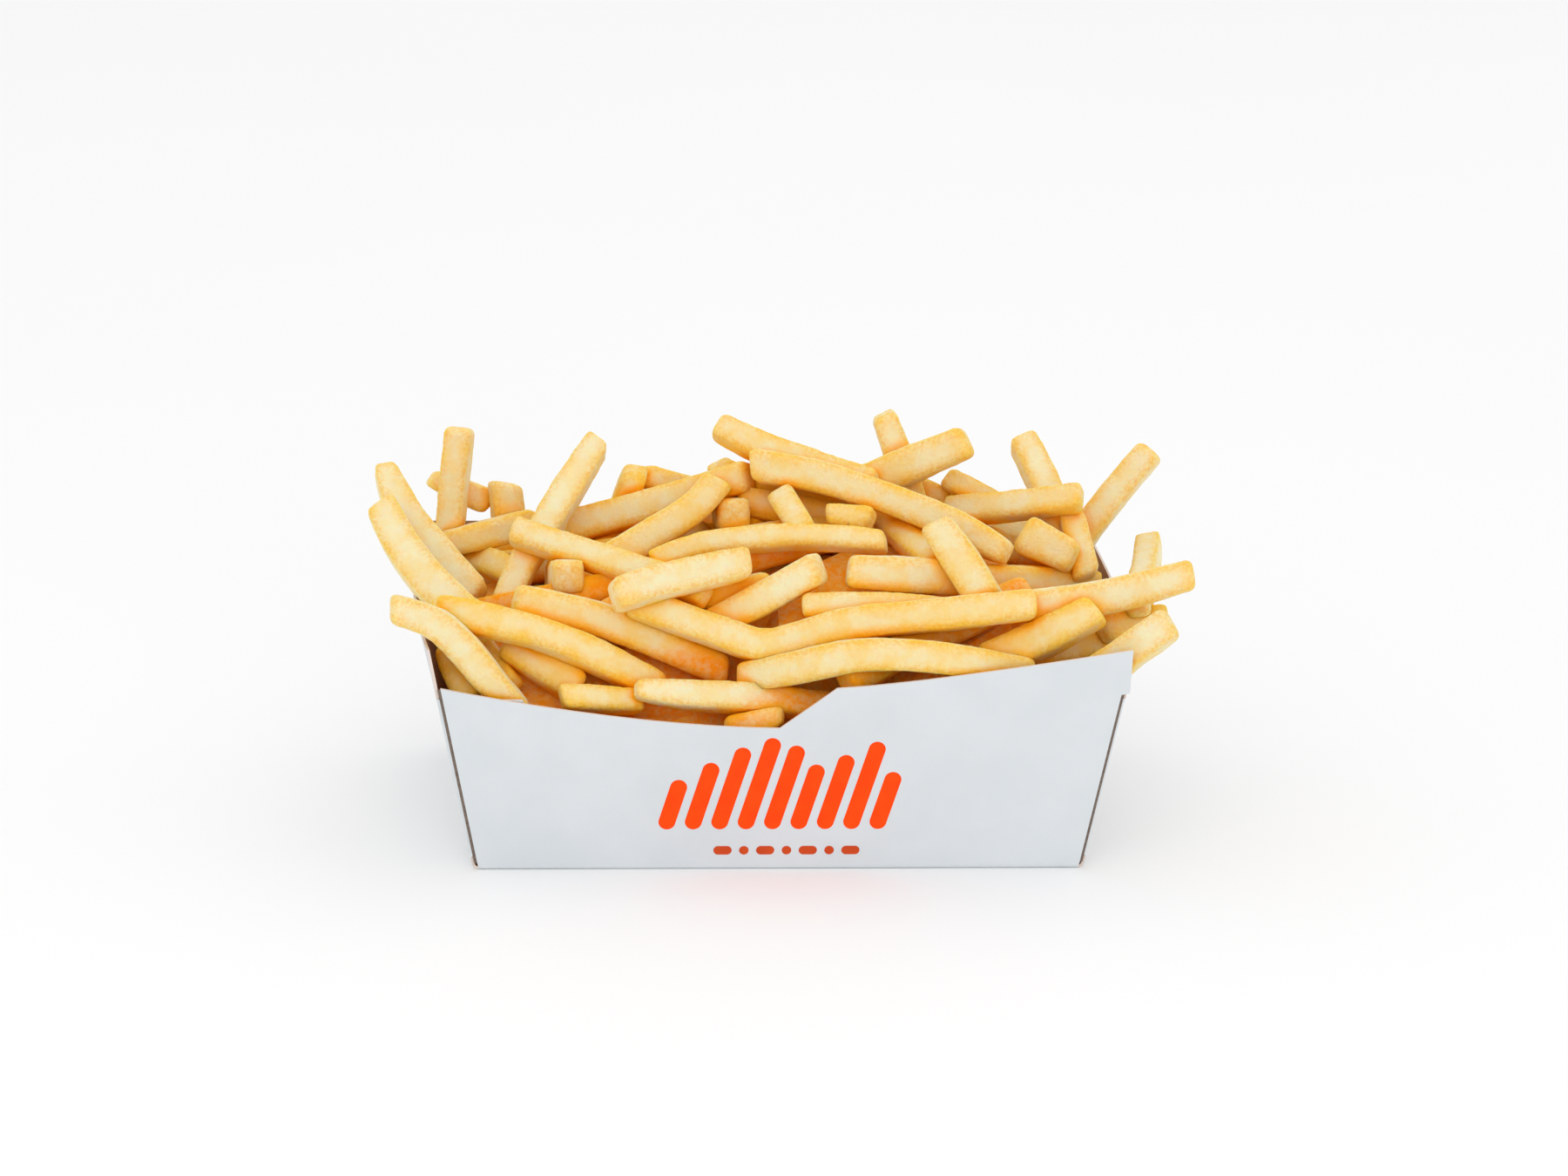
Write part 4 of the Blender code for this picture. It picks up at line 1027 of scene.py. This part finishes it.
def soften(mesh, values):
    """Average each point's value with its neighbours'"""
    ends = np.empty(len(mesh.edges) * 2, int)
    mesh.edges.foreach_get("vertices", ends)
    ends = ends.reshape(-1, 2)
    for _ in range(SHADE_SOFTENINGS):
        total = values.copy()
        count = np.ones(len(values))
        for a, b in ((0, 1), (1, 0)):
            np.add.at(total, ends[:, a], values[ends[:, b]])
            np.add.at(count, ends[:, a], 1)
        values = total / count
    return values


def folded_carton(materials):
    """The folded blank of board, white outside, brown inside, with a pale cut edge"""
    bm = bmesh.new()
    half_w, half_d, cut = BASE_WIDTH / 2, BASE_DEPTH / 2, CORNER_RELIEF
    front = [bm.verts.new((x, -half_d, 0)) for x in (half_w - cut, cut - half_w)]
    back = [bm.verts.new((x, half_d, 0)) for x in (half_w - cut, cut - half_w)]
    feet = {}
    for side in (-1, 1):
        ends = [bm.verts.new((side * half_w, y, 0)) for y in (cut - half_d, half_d - cut)]
        feet[side] = add_side(bm, side, *ends)
    add_panel(bm, -1, front_outline(), front)
    add_panel(bm, 1, back_outline(), back)
    bm.faces.new([front[1], front[0]] + feet[1] + [back[0], back[1]] + feet[-1][::-1])
    bmesh.ops.recalc_face_normals(bm, faces=bm.faces)
    bmesh.ops.translate(bm, verts=bm.verts, vec=(0, 0, BOARD / 2))
    bmesh.ops.scale(bm, verts=bm.verts, vec=(MM, MM, MM))
    carton = add_piece(bm, "folded_carton", *materials)
    folds = carton.modifiers.new("folds", "BEVEL")
    folds.width = FOLD_RADIUS * MM
    folds.segments = FOLD_SEGMENTS
    folds.limit_method = "ANGLE"
    folds.angle_limit = FOLD_ANGLE
    board = carton.modifiers.new("board", "SOLIDIFY")
    board.thickness = BOARD * MM
    board.offset = 0
    board.use_even_offset = True
    board.material_offset = 1
    board.material_offset_rim = 2
    keep_modifiers(carton)
    carton.data.shade_smooth()
    carton.data.set_sharp_from_angle(angle=SHARP_ANGLE)
    return carton


def keep_modifiers(piece):
    """Make what the modifiers give the piece's own mesh"""
    graph = bpy.context.evaluated_depsgraph_get()
    mesh = bpy.data.meshes.new_from_object(piece.evaluated_get(graph))
    piece.modifiers.clear()
    piece.data = mesh


def gap_shadow_lines(material):
    """A dark strip down each side edge of the front panel, on the flap behind it: painted shadow of the gap
    """
    bm = bmesh.new()
    for side, top in ((-1, LEFT_CORNER_TOP - GAP_SHADOW_DROP), (1, EAR_FOOT)):
        made = bmesh.ops.create_grid(bm, x_segments=1, y_segments=GAP_SHADOW_STEPS, size=0.5)
        for vert in made["verts"]:
            height = CORNER_RELIEF + (vert.co.y + 0.5) * (top - CORNER_RELIEF)
            edge = wall_x(side, height) - side * PANEL_INSET
            across = edge + side * (vert.co.x + 0.5) * GAP_SHADOW_WIDTH
            vert.co = (across, wall_y(-1, height), height + BOARD / 2)
        faces = list({face for vert in made["verts"] for face in vert.link_faces})
        grown = bmesh.ops.extrude_face_region(bm, geom=faces)
        front = [item for item in grown["geom"] if isinstance(item, bmesh.types.BMVert)]
        bmesh.ops.translate(bm, verts=made["verts"], vec=(0, FLAP_GAP, 0))
        bmesh.ops.translate(bm, verts=front, vec=(0, FLAP_GAP - BOARD / 2 - GAP_SHADOW_DEPTH, 0))
    bmesh.ops.recalc_face_normals(bm, faces=bm.faces)
    bmesh.ops.scale(bm, verts=bm.verts, vec=(MM, MM, MM))
    return add_piece(bm, "gap_shadow_lines", material)


def panel_point(across, up, out):
    """A point of the front panel: across it, up its slope and out from its face"""
    slope = Vector((0, -FRONT_FLARE, 1)).normalized()
    outwards = Vector((0, -1, -FRONT_FLARE)).normalized()
    foot = Vector((0, -BASE_DEPTH / 2, BOARD / 2))
    return foot + Vector((across, 0, 0)) + slope * up + outwards * (BOARD / 2 + out)


def add_ink_bar(bm, across, foot, width, length, slant):
    """A flat bar with round ends, lying on the front panel, its foot at (across, foot)"""
    made = bmesh.ops.create_circle(bm, cap_ends=True, radius=width / 2, segments=4 * BAR_STEPS)
    disc = made["verts"]
    half_step = math.pi / (4 * BAR_STEPS)
    bmesh.ops.rotate(bm, verts=disc, cent=(0, 0, 0), matrix=Matrix.Rotation(half_step, 3, "Z"))
    upper = [v for v in disc if v.co.y > 0]
    bmesh.ops.translate(bm, verts=upper, vec=(0, length - width, 0))
    bmesh.ops.rotate(bm, verts=disc, cent=(0, 0, 0), matrix=Matrix.Rotation(-slant, 3, "Z"))
    bmesh.ops.translate(bm, verts=disc, vec=(across, foot + width / 2, -INK_SINK))
    faces = list({face for v in disc for face in v.link_faces})
    grown = bmesh.ops.extrude_face_region(bm, geom=faces)
    lifted = [item for item in grown["geom"] if isinstance(item, bmesh.types.BMVert)]
    bmesh.ops.translate(bm, verts=lifted, vec=(0, 0, INK_SINK + INK_RISE))


def lay_on_panel(bm):
    """Carry flat print onto the front panel's face"""
    for vert in bm.verts:
        vert.co = panel_point(*vert.co)
    bmesh.ops.recalc_face_normals(bm, faces=bm.faces)
    bmesh.ops.scale(bm, verts=bm.verts, vec=(MM, MM, MM))


def printed_bars(material):
    """A sheaf of slanted bars across the middle of the front panel"""
    bm = bmesh.new()
    start = BAR_MIDDLE_X - BAR_PITCH * (len(BAR_LENGTHS) - 1) / 2 - math.sin(BAR_SLANT) * BAR_HALF_RISE
    for i, length in enumerate(BAR_LENGTHS):
        add_ink_bar(bm, start + i * BAR_PITCH, BAR_FOOT, BAR_WIDTH, length, BAR_SLANT)
    lay_on_panel(bm)
    return add_piece(bm, "printed_bars", material)


def printed_dashes(material):
    """A row of short level dashes under the bars"""
    bm = bmesh.new()
    total = sum(DASH_LENGTHS) + DASH_GAP * (len(DASH_LENGTHS) - 1)
    x = BAR_MIDDLE_X + DASH_SHIFT - total / 2
    for length in DASH_LENGTHS:
        add_ink_bar(bm, x, DASH_HEIGHT - DASH_WIDTH / 2, DASH_WIDTH, length, LEVEL)
        x += length + DASH_GAP
    lay_on_panel(bm)
    return add_piece(bm, "printed_dashes", material)


class Finish:
    """A material under construction: short calls that add its nodes and return their outputs"""

    def __init__(self, name):
        self.material = bpy.data.materials.new(name)
        self.material.use_nodes = True
        self.nodes = self.material.node_tree.nodes
        self.links = self.material.node_tree.links
        self.shader = self.nodes["Principled BSDF"]
        self.places = self.nodes.new("ShaderNodeTexCoord").outputs["Object"]

    def join(self, source, target):
        if isinstance(source, bpy.types.NodeSocket):
            self.links.new(source, target)
        else:
            target.default_value = source

    def noise(self, feature_mm, detail=2.0, roughness=0.5, stretch=(1, 1, 1)):
        """Noise from 0 to 1 with features about this many millimetres across"""
        mapping = self.nodes.new("ShaderNodeMapping")
        mapping.inputs["Scale"].default_value = stretch
        self.join(self.places, mapping.inputs["Vector"])
        node = self.nodes.new("ShaderNodeTexNoise")
        node.inputs["Scale"].default_value = 1 / (feature_mm * MM)
        node.inputs["Detail"].default_value = detail
        node.inputs["Roughness"].default_value = roughness
        self.join(mapping.outputs["Vector"], node.inputs["Vector"])
        return node.outputs["Fac"]

    def attribute(self, name):
        node = self.nodes.new("ShaderNodeAttribute")
        node.attribute_name = name
        return node.outputs["Fac"]

    def math(self, operation, a, b, clamp=False):
        node = self.nodes.new("ShaderNodeMath")
        node.operation = operation
        node.use_clamp = clamp
        self.join(a, node.inputs[0])
        self.join(b, node.inputs[1])
        return node.outputs[0]

    def spread(self, value, low, high):
        """The value's range from low to high spread smoothly over 0 to 1"""
        node = self.nodes.new("ShaderNodeMapRange")
        node.interpolation_type = "SMOOTHSTEP"
        self.join(value, node.inputs["Value"])
        node.inputs["From Min"].default_value = low
        node.inputs["From Max"].default_value = high
        return node.outputs["Result"]

    def blend(self, share, a, b):
        """Colour a turning into colour b by share"""
        node = self.nodes.new("ShaderNodeMix")
        node.data_type = "RGBA"
        self.join(share, node.inputs[0])
        self.join(a, node.inputs[6])
        self.join(b, node.inputs[7])
        return node.outputs[2]

    def bump(self, height, depth_mm, strength=1.0):
        node = self.nodes.new("ShaderNodeBump")
        node.inputs["Strength"].default_value = strength
        node.inputs["Distance"].default_value = depth_mm * MM
        self.join(height, node.inputs["Height"])
        self.join(node.outputs["Normal"], self.shader.inputs["Normal"])

    def set(self, **values):
        for name, value in values.items():
            self.join(value, self.shader.inputs[name.replace("_", " ")])


def fried_potato():
    """Pale cream turning golden in patches and at the edges, with painted shade: golden on undersides and
    among other fries, orange far down in the heap and in the hollows between the fries
    """
    finish = Finish("fried_potato")
    browned = finish.attribute("browned")
    clouds = finish.spread(finish.noise(6.0, 2.5, 0.55), 0.40, 0.62)
    mottle = finish.spread(finish.noise(1.6, 3.0, 0.6), 0.36, 0.66)
    crumbs = finish.noise(0.8, 3.0, 0.65)
    gold = finish.math("MULTIPLY", finish.attribute("tone"), 0.36)
    gold = finish.math("ADD", gold, finish.math("MULTIPLY", clouds, 0.30))
    gold = finish.math("ADD", gold, finish.math("MULTIPLY", mottle, 0.10))
    gold = finish.math("ADD", gold, finish.math("MULTIPLY", browned, 0.46), clamp=True)
    colour = finish.blend(gold, CREAM, GOLD)
    # Painted shade: golden on undersides and among other fries
    painted_broad_shade = finish.spread(finish.attribute("painted_broad_shade"), 0.10, 0.85)
    cloudy = finish.math("ADD", finish.math("MULTIPLY", clouds, 0.45), 0.42)
    colour = finish.blend(finish.math("MULTIPLY", painted_broad_shade, cloudy), colour, SHADED_GOLD)
    crust = finish.math("MULTIPLY", browned, finish.spread(crumbs, 0.44, 0.60))
    colour = finish.blend(finish.math("MULTIPLY", crust, 0.50), colour, CRUST_BROWN)
    # Painted shade: orange far down in the heap
    painted_depth_shade = finish.math("MULTIPLY", finish.spread(finish.attribute("painted_depth_shade"), 0.60, 1.0), 0.72)
    painted_depth_shade = finish.math("MULTIPLY", painted_depth_shade, finish.math("ADD", finish.math("MULTIPLY", mottle, 0.6), 0.8))
    colour = finish.blend(painted_depth_shade, colour, DEPTH_SHADE_ORANGE)
    # Painted shade: strong orange in the hollows between the fries
    painted_hollow_shade = finish.spread(finish.attribute("painted_hollow_shade"), 0.05, 0.56)
    colour = finish.blend(painted_hollow_shade, colour, HOLLOW_SHADE_ORANGE)
    finish.set(Base_Color=colour, Roughness=0.55, Subsurface_Weight=0.60, Subsurface_Scale=0.003)
    finish.set(Specular_IOR_Level=0.0)
    finish.shader.inputs["Subsurface Radius"].default_value = FLESH_RADIUS
    rough = finish.math("MULTIPLY", crumbs, finish.math("ADD", finish.math("MULTIPLY", browned, 0.7), 0.5))
    finish.bump(finish.math("ADD", rough, finish.math("MULTIPLY", mottle, 0.35)), 0.24, 0.7)
    return finish.material


def coated_board():
    """White clay-coated face, a little bluish, with the faint cloudiness of pressed board"""
    finish = Finish("coated_board")
    cloud = finish.noise(14, 3.0)
    fibre = finish.noise(0.5, 2.0)
    colour = finish.blend(finish.spread(cloud, 0.3, 0.7), *COATING)
    finish.set(Base_Color=colour, Roughness=0.48, Specular_IOR_Level=0.35)
    finish.bump(finish.math("ADD", cloud, finish.math("MULTIPLY", fibre, 0.3)), 0.06, 0.6)
    return finish.material


def kraft_lining():
    """Unbleached brown inner face with long fibres"""
    finish = Finish("kraft_lining")
    fibre = finish.noise(0.5, 4.0, 0.6, (0.25, 1, 1))
    cloud = finish.noise(9, 2.0)
    colour = finish.blend(finish.spread(fibre, 0.3, 0.7), *KRAFT)
    colour = finish.blend(finish.math("MULTIPLY", cloud, 0.3), colour, KRAFT_CLOUD)
    finish.set(Base_Color=colour, Roughness=0.75, Specular_IOR_Level=0.25)
    finish.bump(fibre, 0.05, 0.6)
    return finish.material


def cut_edge():
    """The layers of the board where it was cut"""
    finish = Finish("cut_edge")
    layers = finish.noise(0.3, 2.0)
    colour = finish.blend(layers, *CUT_LAYERS)
    finish.set(Base_Color=colour, Roughness=0.8, Specular_IOR_Level=0.2)
    return finish.material


def edge_in_painted_shadow():
    """Grey-brown raw board fibre, darkened with painted shadow of the gap beside the front panel"""
    finish = Finish("edge_in_painted_shadow")
    fibre = finish.noise(0.6, 3.0)
    colour = finish.blend(fibre, *EDGE_IN_SHADOW)
    finish.set(Base_Color=colour, Roughness=0.85, Specular_IOR_Level=0.1)
    return finish.material


def print_ink(name, colour, worn):
    """Flat offset ink that lets a little of the board's cloudiness through"""
    finish = Finish(name)
    cloud = finish.spread(finish.noise(5, 3.0), 0.3, 0.7)
    finish.set(Base_Color=finish.blend(cloud, colour, worn), Roughness=0.5, Specular_IOR_Level=0.12)
    finish.bump(finish.noise(0.5, 2.0), 0.02, 0.4)
    return finish.material


def pale_floor():
    finish = Finish("pale_floor")
    cloud = finish.noise(300, 1.0)
    finish.set(Base_Color=finish.blend(cloud, *FLOOR_WHITE), Roughness=0.9)
    return finish.material


def add_piece(bm, name, *materials):
    """An object at the origin made from a finished mesh"""
    mesh = bpy.data.meshes.new(name)
    bm.to_mesh(mesh)
    bm.free()
    for material in materials:
        mesh.materials.append(material)
    piece = bpy.data.objects.new(name, mesh)
    bpy.context.scene.collection.objects.link(piece)
    return piece


def add_floor():
    bm = bmesh.new()
    bmesh.ops.create_grid(bm, x_segments=1, y_segments=1, size=FLOOR_SIZE / 2)
    floor = add_piece(bm, "floor", pale_floor())


def add_softbox(name, place, aim, size, power):
    lamp = bpy.data.lights.new(name, "AREA")
    lamp.shape = "DISK"
    lamp.size = size
    lamp.energy = power
    light = bpy.data.objects.new(name, lamp)
    light.location = place
    light.rotation_euler = (Vector(aim) - Vector(place)).to_track_quat("-Z", "Y").to_euler()
    bpy.context.scene.collection.objects.link(light)


def add_lights():
    """A white room with two soft lights before the carton and one above its back"""
    world = bpy.data.worlds.new("white_room")
    world.use_nodes = True
    background = world.node_tree.nodes["Background"]
    background.inputs["Color"].default_value = (1.0, 1.0, 1.0, 1)
    background.inputs["Strength"].default_value = ROOM_LIGHT
    bpy.context.scene.world = world
    for softbox in SOFTBOXES:
        add_softbox(*softbox)
    bpy.context.scene.view_settings.view_transform = "Standard"


def add_camera():
    """The camera that the heap is laid out for"""
    eye, right, up, forward = (Vector(v) for v in view_axes())
    data = bpy.data.cameras.new("camera")
    data.sensor_width = SENSOR_WIDTH
    data.lens = VIEW_PX_PER_MM * VIEW_DISTANCE * SENSOR_WIDTH / PHOTO_WIDTH
    data.clip_start = NEAREST_SEEN
    data.clip_end = FARTHEST_SEEN
    camera = bpy.data.objects.new("camera", data)
    turned = Matrix((right, up, -forward)).transposed().to_4x4()
    turned.translation = eye * MM
    camera.matrix_world = turned @ Matrix.Rotation(VIEW_ROLL, 4, "Z")
    bpy.context.scene.collection.objects.link(camera)
    bpy.context.scene.camera = camera


def carton_pieces():
    board = folded_carton((coated_board(), kraft_lining(), cut_edge()))
    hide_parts("carton")
    bars = printed_bars(print_ink("orange_ink", *ORANGE))
    dashes = printed_dashes(print_ink("dark_orange_ink", *DARK_ORANGE))
    # Painted shadow in the gaps beside the front panel
    lines = gap_shadow_lines(edge_in_painted_shadow())
    for piece in (board, lines, bars, dashes):
        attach(piece, "root")
    return board


def heap_pieces(carton):
    random = np.random.default_rng(SEED)
    shown = shown_fries(random)
    behind = back_fries(shown, random)
    below = under_fries(shown + behind, random)
    crest_route = smooth_route(UNDER_CREST_ENDS, STATION_SPACING)
    below.append(Fry("under_crest", HIDDEN_LAYER, UNDER_CREST_RADIUS, 0.0, points=crest_route))
    potato = fried_potato()
    front = [fry for fry in shown if fry.layer <= FRONT_LAYER]
    middle = [fry for fry in shown if fry.layer > FRONT_LAYER]
    pieces = [
        fries_piece("fries_in_front", front, AROUND, RING_STEP, random, potato),
        fries_piece("fries_in_middle", middle, AROUND, RING_STEP, random, potato),
        fries_piece("fries_behind", behind, BEHIND_AROUND, BEHIND_RING_STEP, random, potato),
        fries_piece("fries_below", below, UNDER_AROUND, UNDER_RING_STEP, random, potato),
        heap_core(shown + behind + below, potato),
    ]
    # Painted shade: how hidden each point of the fries is, close by and farther off
    mark_painted_shade(pieces[:4], pieces[4:] + [carton])
    for piece in pieces:
        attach(piece, "root")
        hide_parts("fries")


add_camera()
heap_pieces(carton_pieces())
add_lights()
add_floor()
